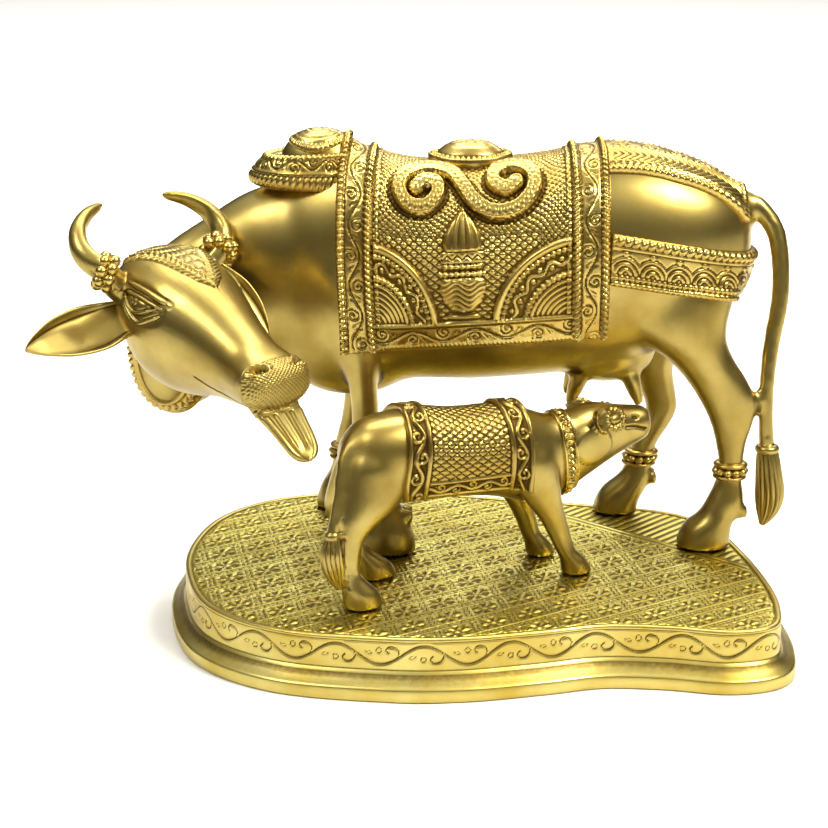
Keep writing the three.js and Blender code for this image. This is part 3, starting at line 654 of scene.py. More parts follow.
EARS = [
    {"root": (9.5, -24, -17), "aim": (0.08, -1, -0.07), "long": 51, "wide": 12.4, "thick": 3.6},
    {"root": (8, 23, -5), "aim": (0.8, 0.385, -0.47), "long": 36, "wide": 10.6, "thick": 3.4},
]
TONGUE = [
    [76, -11, 8, 2.6], [84, -13, 11, 3.2], [93, -14.2, 11.2, 3.4], [100, -15.8, 9.9, 3], [108, -18, 8.7, 2.7],
    [113.5, -20, 7.4, 2.4], [116.6, -21.2, 5.0, 1.8], [117.8, -21.7, 2.2, 0.9],
]


def own_frame(turn, at):
    """Two functions: one places points of a frame of its own in the part, the other takes them back."""
    turn, at = np.array(turn), np.array(at)
    return (lambda points: np.asarray(points, float) @ turn.T + at,
            lambda points: (np.asarray(points, float) - at) @ turn)


def head_frame():
    yaw, dip, tilt = (math.radians(HEAD[k]) for k in ("yaw", "dip", "tilt"))
    s = Vector((math.cos(dip) * math.cos(yaw), -math.cos(dip) * math.sin(yaw), -math.sin(dip)))
    h = Matrix.Rotation(tilt, 3, s) @ Vector((math.sin(yaw), math.cos(yaw), 0))
    return Matrix((s, h, s.cross(h))).transposed()


HEAD_TURN = head_frame()
from_head, to_head = own_frame(HEAD_TURN, HEAD["poll"])


def skull_rings(sides=56):
    rings = []
    for s, half, top, under, squareness in smooth_rows(SKULL, 4):
        h, n = oval(turned(sides), half, (top - under) / 2, squareness)
        h = h * (1 - JAW_TAPER * np.maximum(0, -np.sin(turned(sides))))
        rings.append(np.stack([np.full(sides, s), h, (top + under) / 2 + n], 1))
    return rings


print("nose points along", [round(x, 2) for x in HEAD_TURN.col[0]])


# %% [markdown]
# An ear is a long leaf: flat cuts along its aim, with a dished face. The tongue is a flat strap that leaves
# the mouth and curls down at its tip. Both are made in the head's frame and pushed into the skull.

# %% Ears, horns and tongue
def leaf_rings(ear, face, hollow, sides=28, steps=5):
    """Flat cuts along an ear. hollow dishes the side that faces out, face says where that is."""
    aim = Vector(ear["aim"]).normalized()
    out = Vector(face)
    out = (out - aim * out.dot(aim)).normalized()
    across = aim.cross(out)
    rings = []
    for t, share in smooth_rows(EAR_SHAPE, steps):
        w, k = oval(turned(sides), share, 1)
        thick = ear["thick"] * (0.35 + 0.65 * share)
        opened = math.sin(min(1, max(0, t * 2.4)) * math.pi / 2)
        dish = hollow * share * (1 - (w / max(share, 0.05))**4) * opened
        rim = 0.26 * hollow * dome(np.abs(w) / share - 0.88, 0.12) * (k > 0)
        depth = k * thick / 2 - np.where(k > -0.2, dish, dish * 0.55) + rim
        centre = np.array(ear["root"]) + t * ear["long"] * np.array(aim)
        rings.append(ring_at(centre, across, out, w * ear["wide"], depth))
    return rings


def tongue_rings(sides=28):
    rings = []
    for s, n, half, thick in smooth_rows(TONGUE, 4):
        h, k = oval(turned(sides), half, thick, 2.4)
        trough = 1.3 * (1 - (h / half)**2) * (k > 0)
        rings.append(np.stack([np.full(sides, s), h, n + k - trough], 1))
    return rings


def fluted(rings, inner):
    """Round rings with a flute along the side that looks towards a point."""
    made = []
    for ring in rings:
        centre = ring.mean(0)
        spokes = ring - centre
        way = np.array(inner) - centre
        cosine = spokes @ way / np.linalg.norm(spokes, axis=1) / np.linalg.norm(way)
        turn = np.arccos(np.clip(cosine, -1, 1))
        made.append(centre + spokes * (1 - 0.2 * groove(turn - 0.35, 0.5))[:, None])
    return made


def cow_head():
    bm = bmesh.new()
    loft(bm, skull_rings(), from_head)
    for side in (-1, 1):
        path = [[s, side * h, n, r] for s, h, n, r in HORN]
        loft(bm, fluted(tube_rings(path, 5, 28), (-14, side * 18, 16)), from_head)
    loft(bm, tongue_rings(), from_head)
    piece = melt(as_object(closed(bm), "cow_head"), HEAD_VOXEL)
    return relax(piece, 7, keep=1.0)


head = cow_head()

bm = bmesh.new()
for ear, face, hollow in zip(EARS, ((0.25, 0.1, 1), (0.4, -0.2, 0.8)), (5.0, 3.6)):
    loft(bm, leaf_rings(ear, face, hollow, 84, 12), from_head)
finish_piece(as_object(closed(bm), "cow_ears"))


# %% [markdown]
# ## Carving the face
#
# The face is carved into the melted skull as a sculptor does it, by pushing each point along its normal.
# Where the marks are fine the skin is first split once more. The eye is an almond between two lids, with a
# brow above and folds below. The muzzle is a stippled pad with two comma-shaped nostrils, and a cut line is
# the mouth. A feathered triangle with a plaited border lies on the forehead.

# %% Face marks
BROW = [[5.5, -0.6], [8.7, 0.3], [18.4, 2.4], [26.1, 3.0], [32.5, 3.2]]
LID_UP = [[6.6, -4.0], [9.7, -2.9], [17.9, -0.8], [26.1, 0.2], [31.5, 0.4]]
LID_LOW = [[6.6, -4.2], [12.3, -7.1], [18.4, -7.6], [23, -4.9], [27.6, -0.4]]
FOLD = [[7.4, -6.0], [13.6, -9.3], [22.3, -10.4], [27.8, -5.9], [32, -1.0]]
MOUTH = [[54.5, -19.3], [63, -20.2], [74, -17.6], [83, -13.8], [90, -11]]


def within(value, low, high):
    return (value > low) & (value < high)


def stroke(a, b, corners, half):
    """A rounded line that thins out at both ends, how thin it is and how far off."""
    gap, along = line_distance(a, b, corners)
    thin = np.clip(np.minimum(along, along.max() - along) / 4, 0.25, 1)
    return dome(gap, half * thin), thin, gap


def eye_marks(s, _, n):
    """A ball with its iris between two lids in a socket, and a brow and a fold round them."""
    up, low = row_at(LID_UP, s)[..., 0], row_at(LID_LOW, s)[..., 0]
    inside = edge(up - n, 0.7) * edge(n - low, 0.7) * edge(s - 7, 1) * edge(27 - s, 1)
    socket = edge(7.0 - np.hypot((s - 19) / 1.75, n + 3.2), 4.0) * edge(s - 7, 3)
    iris = np.hypot(s - 15.8, n + 3.8)
    ball = 0.2 + 1.5 * dome(np.hypot((s - 16.3) / 1.2, n + 4.1), 5.6)
    ball -= 0.7 * groove(iris - 2.1, 0.6) + 0.5 * groove(iris, 0.9)
    height = over(-0.9 * socket, ball - 1.5, inside)
    for line, tall, half in ((BROW, 0.9, 0.95), (LID_UP, 0.7, 0.8), (LID_LOW, 0.55, 0.75), (FOLD, 0.35, 0.8)):
        ridge, thin, gap = stroke(s, n, line, half)
        height -= 0.5 * thin * groove(np.maximum(gap - half, 0), 0.8) * (ridge == 0)
        height = np.maximum(height, np.where(ridge > 0, (tall + 0.7) * thin * ridge - 0.7, -9))
    return height * edge(s - 5.2, 2)


def plait_marks(s, h, _):
    """The feathered triangle on the forehead and its plaited border."""
    side = np.where(h > 0.4, 0.74, 1.0) * np.abs(h - 0.4)
    half = np.interp(s, [-9, -1, 8.6, 19.6, 29.5, 36.5], [22, 15.6, 12.0, 9.2, 5.4, 0.0])
    off = (half - side) * 0.9
    strands = ripple(s + np.abs(off - 2.7) * 1.1, 2.7)
    border = 0.35 + 1.0 * dome(off - 2.7, 2.9) * (0.35 + 0.65 * strands) - 0.35 * groove(off - 2.7, 0.5)
    r, angle = np.hypot(s + 14, side), np.arctan2(side, s + 14)
    row = (r / 6.0) % 1
    quills = 0.5 + 0.5 * np.cos(TURN * angle * 21 / 2.3 + math.pi * np.floor(r / 6.0))
    feathers = 0.3 + 0.45 * row + 0.7 * quills * np.sin(math.pi * row)**0.6
    height = np.where(off < 5.6, border, feathers) + 0.4 * dome(off - 5.6, 0.55)
    return height * edge(off, 0.6)


def muzzle_marks(s, h, n):
    """The pad's stipple, its border and the nostrils."""
    border = 82.6 + 4.4 * np.clip(-(n - 2) / 9, 0, 1)
    k = TURN / 2.0
    stipple = np.cos(k * h) * np.cos(k * 0.85 * (s - n))
    height = edge(s - border, 0.7) * (0.3 + 0.32 * stipple) - 0.5 * groove(s - border + 0.3, 0.7)
    for side in (-1, 1):
        a, b = s - 85.6, h * side - 10.6
        hole, rim = np.hypot(a + 0.35 * b, b * 0.55), np.hypot(a + 0.35 * b, b * 0.62)
        height += (n > -5) * (0.8 * dome(rim - 3.0, 1.2) * (a < 1.5) - 3.2 * groove(hole, 2.4))
    return height


def mouth_marks(s, _, n):
    return -1.5 * groove(line_distance(s, n, MOUTH)[0], 0.8)


def tongue_marks(s, h, n):
    """A raised rim, a ridge down the middle and a hollow on each side of it."""
    centre, half = row_at([row[:3] for row in TONGUE], s).T
    across = np.abs(h)
    middle = 0.4 * dome(h, 1.1) - 0.7 * groove(across - 0.4 * half, 1.4)
    return (0.5 * dome(across - half + 1.6, 1.4) + edge(113 - s, 5) * middle) * (n > centre - 0.8)


def in_face(points):
    """The regions of the head that take fine marks."""
    s, h, n = to_head(points).T
    wide = np.abs(h)
    eye = within(wide, 13, 30) & within(s, 2, 37) & (np.abs(n + 3.5) < 11)
    brow = within(s, -10, 39) & (wide < 25) & (n > 0)
    mouth = within(s, 52, 92) & within(n, -23, -10) & (wide > 5)
    return eye | brow | mouth | (s > 77)


def face_height(points, normals):
    s, h, n = to_head(points).T
    way = (normals @ np.array(HEAD_TURN)).T
    wide = np.abs(h)
    flank = (np.abs(way[1]) > 0.35) & within(wide, 13, 29)
    regions = [
        (flank & within(s, 4, 36) & (np.abs(n + 3.5) < 11), eye_marks),
        ((way[2] > 0.1) & within(s, -9, 38) & (wide < 25) & (n > 0), plait_marks),
        (within(s, 79, 96) & ((s < 92) | (n > -12)), muzzle_marks),
        (within(s, 53, 90) & (wide > 6) & (n < -8), mouth_marks),
        ((s > 95.5) & (way[2] > 0), tongue_marks),
    ]
    height = np.zeros(len(points))
    for region, marks in regions:
        height[region] += marks(s[region], h[region], n[region])
    return height


finish_piece(carve(head, in_face, face_height))


# %% [markdown]
# ## The calf
#
# The calf stands a little turned to the viewer. It is cast like its mother, trunk first and then legs, and
# its nose is the end of the same row of cuts as its rump.

# %% The calf's skin
CALF = {"at": (-5, -26, 0), "yaw": 23}
CALF_BODY = [
    [-60, 92, 89, 1], [-59, 96, 84, 5], [-56, 99, 82, 9], [-50, 104.5, 73, 14.5], [-40, 107.2, 67.5, 17.5],
    [-28, 108, 66.5, 18.3], [-8, 105, 66.5, 18.5], [10, 104.5, 64.5, 18], [22, 105, 61, 17],
    [32, 101.5, 59, 14.5], [40, 98.5, 59, 12.6], [49, 98.5, 61.5, 11.4], [57, 100.5, 66, 11],
    [65, 101, 70.5, 10.6], [73, 99.4, 74.5, 9.2], [81, 98, 78, 7.8], [88, 97, 81, 7.2], [91, 95.4, 83, 5.6],
    [92.5, 92, 87, 1.6],
]
CALF_LEGS = {
    "near_hind": [
        [97, -53, -39, -5, 5], [90, -57.5, -34.5, -9.6, 7.2], [80, -61, -32, -11, 7.2],
        [71, -64.5, -36, -12.5, 6.4],
        [64.5, -66.5, -45, -13.5, 5.4], [58, -66.5, -53, -14.5, 4.4], [50, -65.2, -56.2, -15.5, 3.8],
        [42, -64.4, -56.6, -16, 3.9], [36.5, -64.6, -52, -16, 5.6], [32.5, -64.6, -48, -16, 6.8],
        [26.3, -64, -46.3, -16, 7.2],
    ],
    "far_hind": [
        [97, -52, -38, 5, 5], [90, -55.5, -32.5, 9.6, 7.2], [80, -59, -32, 11, 7.2],
        [71, -61, -36, 12.5, 6.4],
        [64, -61.5, -43, 13.5, 5.2], [57, -59.5, -46.5, 14.5, 4.3], [49, -54.5, -44.5, 15.5, 3.8],
        [41, -49.5, -40.5, 16, 3.9], [36, -46.5, -34, 16, 5.4], [32, -45.5, -29, 16, 6.6],
        [26.3, -45, -26.5, 16, 7],
    ],
    "near_fore": [
        [92, 18, 34, -6, 5], [84, 14, 38, -10.6, 6.4], [72, 18, 41, -12, 6], [63, 24, 42, -12.5, 5],
        [54, 31, 44, -13, 4.2],
        [45, 36, 46.4, -13.5, 3.8], [38, 39.4, 48.6, -14, 4.3], [33.5, 41.8, 53, -14, 5.8],
        [30, 42.6, 55.6, -14, 6.4], [26.3, 43, 57, -14, 6.6],
    ],
    "far_fore": [
        [92, 16, 32, 6, 5], [84, 12, 36, 10.6, 6.4], [72, 16, 38, 12, 6], [63, 21, 38.5, 12.5, 5],
        [54, 27.5, 40, 13, 4.2],
        [45, 32.5, 42.5, 13.5, 3.8], [38, 35.4, 44.6, 14, 4.3], [33.5, 37.6, 48.4, 14, 5.8],
        [30, 38.4, 51, 14, 6.4], [26.3, 39, 52.4, 14, 6.6],
    ],
}
CALF_TAIL = [
    [-53, -2, 99, 3.4], [-59.4, -5.5, 92, 3.1], [-63.6, -10, 80, 2.8], [-66.8, -14, 68, 2.7],
    [-69, -15.5, 60, 2.8],
    [-70, -16.5, 52, 4.4], [-69, -16.5, 44, 3.8], [-66.5, -16, 36, 1.2],
]
CALF_EAR = {"aim": (-1, 0.85, 0.1), "long": 13, "wide": 6.0, "thick": 2.4}
CALF_TURN = Matrix.Rotation(math.radians(CALF["yaw"]), 3, "Z")
from_calf, to_calf = own_frame(CALF_TURN, CALF["at"])


def calf_skin():
    bm = bmesh.new()
    loft(bm, trunk_rings(CALF_BODY, 0, 4), from_calf)
    for rows in CALF_LEGS.values():
        loft(bm, leg_rings(rows, 4, 20), from_calf)
    loft(bm, tube_rings(CALF_TAIL, 4), from_calf)
    for side in (-1, 1):
        back, out, up = CALF_EAR["aim"]
        ear = dict(CALF_EAR, root=(67.5, side * 7.6, 95.4), aim=(back, side * out, up))
        loft(bm, leaf_rings(ear, (0.3, side, 0.25), 2.4), from_calf)
    piece = melt(as_object(closed(bm), "calf_skin"), CALF_VOXEL)
    relax(piece, 26, weight=lambda p: np.clip((p[:, 2] - 66) / 10, 0, 1) * (to_calf(p)[:, 0] < 52))
    return relax(piece, 5, keep=1.0)


calf = calf_skin()


# %% [markdown]
# The calf's face is simpler than its mother's: an eye in a wreath of beads, a nostril, an open mouth line
# and a round cheek. Its tail ends in a lock of hair under a thin ring.

# %% Calf's face and tail
CALF_EYE = (71.5, 94.6)
CALF_MOUTH = [[77, 90.0], [82, 89.6], [88, 87.6]]


def in_calf_face(points):
    s, o, z = to_calf(points).T
    return ((s > 62) & (z > 82)) | (within(s, -77.5, -61.5) & within(z, 33, 66) & (o < -8))


def calf_height(points, _):
    s, o, z = to_calf(points).T
    height = np.zeros(len(points))
    m = (s > 63) & (z > 82)
    a, b = s[m] - CALF_EYE[0], z[m] - CALF_EYE[1]
    r, angle = np.hypot(a, b), np.arctan2(b, a)
    wreath = dome(np.hypot(r - 4.4, from_nearest(angle, TURN / 11) * 4.4), 1.15)
    eye = 0.9 * dome(np.hypot(a / 1.5, b), 1.9) - 0.5 * groove(np.hypot(a / 1.4, b) - 2.4, 0.6)
    height[m] = (np.abs(o[m]) > 3.5) * (eye + 0.9 * wreath)
    height[m] -= 1.5 * groove(np.hypot((s[m] - 82.5) / 1.7, z[m] - 93.8), 1.3)
    height[m] -= 1.4 * groove(line_distance(s[m], z[m], CALF_MOUTH)[0], 0.9)
    m = within(s, 46, 72) & within(z, 70, 92) & (np.abs(o) > 3)
    height[m] += 0.9 * edge(8.5 - np.hypot((s[m] - 59) / 1.1, z[m] - 84), 1.6)
    x, y = row_at([[row[2], row[0], row[1]] for row in CALF_TAIL[2:]], z).T
    m = in_calf_face(points) & (s < 0) & (np.hypot(s - x, o - y) < 6)
    around = np.arctan2(o[m] - y[m], s[m] - x[m])
    height[m] = 0.4 * np.cos(11 * around + 0.12 * z[m]) * edge(59 - z[m], 2) * edge(z[m] - 35, 3)
    height[m] += 0.7 * dome(z[m] - 60.5, 1.3)
    return height


finish_piece(carve(calf, in_calf_face, calf_height), ["calf"])


# %% [markdown]
# ## The plinth
#
# The plinth is one outline lifted through a moulded profile: a foot wall, a bright sloping ledge and a
# plain upper wall with a softly rounded arris. The outline is waisted at the front and broad at the ends.

# %% The plinth's body
RIM = [
    [-40, -98.5], [-8, -98.5], [25, -91.5], [52, -84.5], [80, -86], [106, -91], [126, -84], [132, -62],
    [132, -32], [127, 8], [118, 44], [98, 66], [66, 76], [30, 84], [-12, 94], [-56, 98], [-96, 87],
    [-121, 62], [-132, 26], [-132, -14], [-118, -60], [-86, -88],
]
FOOT = [
    [5.4, 0], [6.2, 0], [6.8, 0.25], [7, 0.8], [7, 5.2], [6.7, 5.9], [5.8, 6.4], [4.0, 7.6], [2.33, 8.9],
    [1.2, 10.2], [0.6, 11.4], [0.12, 11.7],
]
WALL_LOW, WALL_TOP = 12.2, 24.9
LIP = [
    [-0.25, 25.6], [-0.8, 26], [-1.6, 26], [-2.4, 26], [-2.7, 25.7], [-2.9, 25.0], [-4.0, 24.9], [-9, 24.9],
]


def closed_curve(corners, count):
    """Points at even steps along a smooth closed curve through the corners."""
    corners = np.array(corners, float)
    ring = np.vstack([corners[-2:], corners, corners[:3]])
    fine = smooth_rows(ring, 24)[2 * 24:(len(corners) + 2) * 24 + 1]
    along = lengths(fine)
    places = np.arange(count) * along[-1] / count
    return np.stack([np.interp(places, along, fine[:, k]) for k in (0, 1)], 1)


RIM_CURVE = closed_curve(RIM, 1160)
step = np.roll(RIM_CURVE, -1, 0) - np.roll(RIM_CURVE, 1, 0)
RIM_OUT = unit(np.stack([step[:, 1], -step[:, 0]], 1))
PERIMETER = np.linalg.norm(np.roll(RIM_CURVE, -1, 0) - RIM_CURVE, axis=1).sum()
print("the plinth is", round(PERIMETER), "mm round")


# %% [markdown]
# ## Laying cloth on the cow
#
# The saddle cloth and the bands follow her back. To find where they lie, rays are cast from a line inside
# her outwards to the skin. The rows of hits are rubbed smooth and then measured along the surface from her
# spine, so that a rope of beads has the same pitch on her flank as on her back.

# %% Casting, measuring and resampling
def skin_tree(piece):
    bm = bmesh.new()
    bm.from_mesh(piece.data)
    tree = BVHTree.FromBMesh(bm)
    bm.free()
    return tree


def blurred(grid, rounds, axes=(0, 1)):
    """Averages a grid with its neighbours and leaves its outermost rows where they are."""
    grid = grid.copy()
    for _ in range(rounds):
        for axis in axes:
            rows = np.moveaxis(grid, axis, 0)
            rows[1:-1] = (rows[:-2] + 2 * rows[1:-1] + rows[2:]) / 4
    return grid


def reaches(tree, starts, ways, miss, most=np.inf):
    """How far rays get from their starts, in millimetres, before they meet a skin."""
    starts, ways = np.broadcast_arrays(starts, ways)
    found = np.full(starts.shape[:-1], float(miss))
    for i in np.ndindex(found.shape):
        hit = tree.ray_cast(Vector(starts[i]) * MM, Vector(ways[i]))
        if hit[0] is not None:
            found[i] = min(hit[3] / MM, most)
    return found


def cast_round(tree, xs, centre, angles, rounds, miss, place=np.array, turn=Matrix.Identity(3)):
    """Hits on a skin from a line along X. Angles run from the top, positive towards the viewer.
    The hits are in the skin's own frame, and place and turn bring points and ways into the part's."""
    ways = np.stack([0 * angles, -np.sin(angles), np.cos(angles)], -1)
    starts = np.stack(np.broadcast_arrays(xs, *centre), -1)
    placed = np.array([place(start) for start in starts])[:, None]
    reach = reaches(tree, placed, [turn @ Vector(way) for way in ways], miss)
    return starts[:, None] + blurred(reach, rounds)[..., None] * ways


def arcs_of(hits, angles):
    """Distance along each row from the place where the angle is 0, signed like the angle."""
    steps = np.linalg.norm(np.diff(hits, axis=1), axis=-1)
    along = np.concatenate([np.zeros((len(hits), 1)), np.cumsum(steps, axis=1)], axis=1)
    middle = int(np.argmin(np.abs(angles)))
    return along - along[:, middle:middle + 1]


def resampled(hits, arcs, low, high, count):
    """Each row read at even steps between two distances. Returns the points and the distances."""
    where = np.stack([np.linspace(a, b, count) for a, b in zip(low, high)])
    points = [[np.interp(w, arc, row[:, k]) for k in range(3)] for w, arc, row in zip(where, arcs, hits)]
    return np.moveaxis(np.array(points), 1, -1), where


def grid_normals(points):
    return unit(np.cross(np.gradient(points, axis=0), np.gradient(points, axis=1)))


def arc_at_height(hits, arcs, heights, side):
    """Distance from the spine at which each row has come down to a height, on one side."""
    found = np.zeros(len(hits))
    middle = int(np.argmin(np.abs(arcs[0])))
    for i, height in enumerate(heights):
        z = hits[i, middle:, 2] if side > 0 else hits[i, middle::-1, 2]
        a = arcs[i, middle:] if side > 0 else arcs[i, middle::-1]
        below = np.argmax(z < height) if (z < height).any() else len(z) - 1
        share = (z[below - 1] - height) / max(z[below - 1] - z[below], 1e-6)
        found[i] = a[below - 1] + (a[below] - a[below - 1]) * min(max(share, 0), 1)
    return found


def hanging(hits, angles, heights, grain, hem_rounds, rounds):
    """The part of a back that a cloth covers down to given heights: its points, how far each lies from the
    spine, and how far down the near and the far hem are."""
    arcs = arcs_of(hits, angles)
    far, near = (arc_at_height(hits, arcs, heights, side)[:, None] for side in (-1, 1))
    far, near = blurred(far, hem_rounds, (0,)), blurred(near, hem_rounds, (0,))
    count = round((near.mean() - far.mean()) / grain) + 1
    points, where = resampled(hits, arcs, far[:, 0], near[:, 0], count)
    return blurred(points, rounds), where, near, far


skin_bvh = skin_tree(skin)


# %% [markdown]
# A patch of ornament is a fine grid laid on the skin and lifted by the height of its marks. Its border is
# pulled down into the casting below, so no patch floats, and its underside is closed.

# %% Patches
def drop_wall(bm):
    """A wall from the border of a flat grid down to z = -1."""
    for part in bmesh.ops.extrude_edge_only(bm, edges=border(bm))["geom"]:
        if isinstance(part, bmesh.types.BMVert):
            part.co.z = -1


def patch(name, points, height, inside, skirt=2.5, ring=False):
    """A closed piece with a relief on top. With ring its first and last columns meet. inside is below it."""
    normals = grid_normals(points)
    if ring:
        normals[0] = normals[-1] = unit(normals[0] + normals[-1])
    if ((points - np.asarray(inside)) * normals).sum() < 0:
        normals = -normals
    top, under = points + normals * height[..., None], points - normals * skirt
    if ring:
        top[-1], under[-1] = top[0], under[0]
    columns, rows = height.shape
    bm = bmesh.new()
    bmesh.ops.create_grid(bm, x_segments=columns - 1, y_segments=rows - 1, size=1)
    drop_wall(bm)
    piece = as_object(bm, name)
    flat = points_of(piece.data) * MM
    i = np.rint((flat[:, 0] + 1) / 2 * (columns - 1)).astype(int)
    j = np.rint((flat[:, 1] + 1) / 2 * (rows - 1)).astype(int)
    set_points(piece.data, np.where(flat[:, 2:] < -0.5, under[i, j], top[i, j]))
    bm = bmesh.new()
    bm.from_mesh(piece.data)
    bmesh.ops.remove_doubles(bm, verts=bm.verts, dist=1e-7)
    bmesh.ops.holes_fill(bm, edges=border(bm), sides=0)
    bmesh.ops.triangulate(bm, faces=[f for f in bm.faces if len(f.verts) > 4])
    closed(bm).to_mesh(piece.data)
    bm.free()
    return finish_piece(piece)


# %% [markdown]
# ## The saddle cloth
#
# The cloth hangs to the belly on both sides. It has a rope of slanted beads on each side of a vine border,
# a hem with the same vine, a field of small scales, two fans in its lower corners and a lotus pot between
# them. High on the near side lies a raised ribbon scroll. It is a plain scroll, and stands where the
# original has a sign that is not copied. The far side was never meant to be seen and has the borders and
# the field only.

# %% Where the cloth lies
CLOTH = {"from": -60.5, "to": 60.5, "drop": 122, "rear": 8, "hem": 13, "rope": 4.1, "border": 16.6}
GRAIN = 0.58
AXIS_Z = 155


def cloth_hits():
    xs = np.linspace(CLOTH["from"], CLOTH["to"], round((CLOTH["to"] - CLOTH["from"]) / GRAIN) + 1)
    angles = np.radians(np.linspace(-140, 140, 281))
    hits = cast_round(skin_bvh, xs, (SPINE_Y, AXIS_Z), angles, 10, 40)
    heights = CLOTH["drop"] + CLOTH["rear"] * (xs - CLOTH["from"]) / (CLOTH["to"] - CLOTH["from"])
    points, where, near, far = hanging(hits, angles, heights, GRAIN, 30, 6)
    bow = -2.2 * np.sin(math.pi * np.clip(np.abs(where) / 108, 0, 1))
    front = np.clip((CLOTH["to"] - xs) / 60, 0, 1)[:, None]
    points[..., 0] += bow * front
    return points, where, near, far, xs[:, None]


cloth_points, cloth_arc, near_hem, far_hem, cloth_x = cloth_hits()
print("cloth hangs", near_hem.mean().round(1), "mm down the near side, and its grid is", cloth_arc.shape)


# %% [markdown]
# On the cloth x runs along her and v down from her spine. A fan has an outer rim, a row of beads, a waved
# stem with berries, an inner row of beads and fine arcs. The pot stands between the fans with its lotus bud
# on top.

# %% Marks on the cloth
SCROLL = [
    [-25, 27.5], [-21.5, 24], [-16, 25.5], [-15.5, 31.5], [-21, 36.5], [-29, 35], [-33, 27.5], [-29.5, 19.5],
    [-20, 16], [-10, 19], [-4, 27], [1.5, 35], [10, 40], [20, 38.5], [27, 31], [26.5, 22],
    [19, 16.5], [11, 18.5], [9.5, 25.5], [15, 29.5], [19.5, 26.5],
]
FANS = [
    {"corner": (-43, 91.5), "side": 1, "wide": 28, "tall": 36.5},
    {"corner": (43, 93), "side": -1, "wide": 34.5, "tall": 38.5},
]
POT_X = -3.8


def fan_marks(x, v, fan):
    """Height of a fan and the share of it at each place."""
    a = (x - fan["corner"][0]) * fan["side"] / fan["wide"]
    b = (fan["corner"][1] - v) / fan["tall"]
    r = np.hypot(a, b)
    outer = (fan["wide"] + fan["tall"]) / 2
    inner = outer * 0.58
    along, out = np.arctan2(b, a) * outer, r * outer
    channel = (outer + inner) / 2 - 1.6
    bend = along * channel / outer / 5.2
    stem = dome(out - channel - 1.5 * np.sin(math.pi * bend), 0.8)
    berry = dome(np.hypot(from_nearest(bend - 0.5) * 5.2, out - channel + 1.1 * np.sin(math.pi * bend)), 1.1)
    height = highest(0.9 + 2.6 * dome(out - (outer - 1.7), 1.9),
                     0.9 + 2.0 * beads(along * 0.9, out - (outer - 4.8), 2.7, 1.5),
                     0.8 + 1.3 * np.maximum(stem, berry),
                     0.9 + 2.0 * beads(along * 0.6, out - inner, 2.6, 1.5),
                     0.9 + 1.2 * dome(out - (inner - 2.6), 0.9))
    height += 0.55 * ripple(out, 2.3) * edge(inner - 4.0 - out, 0.8)
    return height, edge(1 - r, 0.02) * (a > -0.02) * (b > -0.02)


def pot_marks(x, v):
    """Height of the lotus bud, its neck rings, the round pot and its foot."""
    w = x - POT_X
    bud_half = np.interp(v, [37, 40, 44, 49, 53, 55.5, 57], [0.3, 2.6, 5.8, 8.6, 9.3, 8.8, 7.4])
    body_half = np.interp(v, [68, 70, 74, 79, 82, 84], [9.5, 10.6, 10.8, 9.0, 6.4, 5.2])
    foot_half = np.interp(v, [83, 85, 88, 91], [5, 7.2, 8.4, 8.6])
    bud = dome(w, bud_half) * band(v, 37, 56.6, 1.0) * (3.4 + 0.8 * ripple(w, np.maximum(bud_half, 1) / 2.6))
    ring = band(v, 56.8, 61.6) * dome(w, 9.6)**0.5 * (2.6 - 0.9 * zigzag(w, v - 59.2, 4.4, 2.2, 0.7))
    neck = [beads(w, v - at, 2.5, 1.6) * (np.abs(w) < half) * (1.6 + 1.6 * dome(w, half + 1))
            for at, half in ((63.2, 9.2), (66.6, 10))]
    waves = ripple(v - 1.5 * np.sin(w * 0.55), 2.3)
    body = dome(w, body_half) * band(v, 68.2, 83.5, 1.2) * (3.6 + 0.7 * waves)
    foot = dome(w, foot_half)**0.6 * band(v, 83.6, 90.5, 0.8) * (2.3 + 0.7 * np.cos(TURN * v / 2.6))
    return highest(0, bud, ring, *neck, body, foot)


def border_marks(along, across, total):
    """The border between two ropes. across goes from 0 at the edge to the full width."""
    half = CLOTH["rope"] / 2
    height = 2.0 + 0.9 * vine(along, across - total / 2, 27, 2.5, 0.62)
    for at, slant in ((half, 0.5), (total - half, -0.5)):
        beaded = 0.7 + 3.5 * rope(along, across - at, 2.7, half, slant)
        height = np.maximum(height * (np.abs(across - at) > half), beaded)
    return height


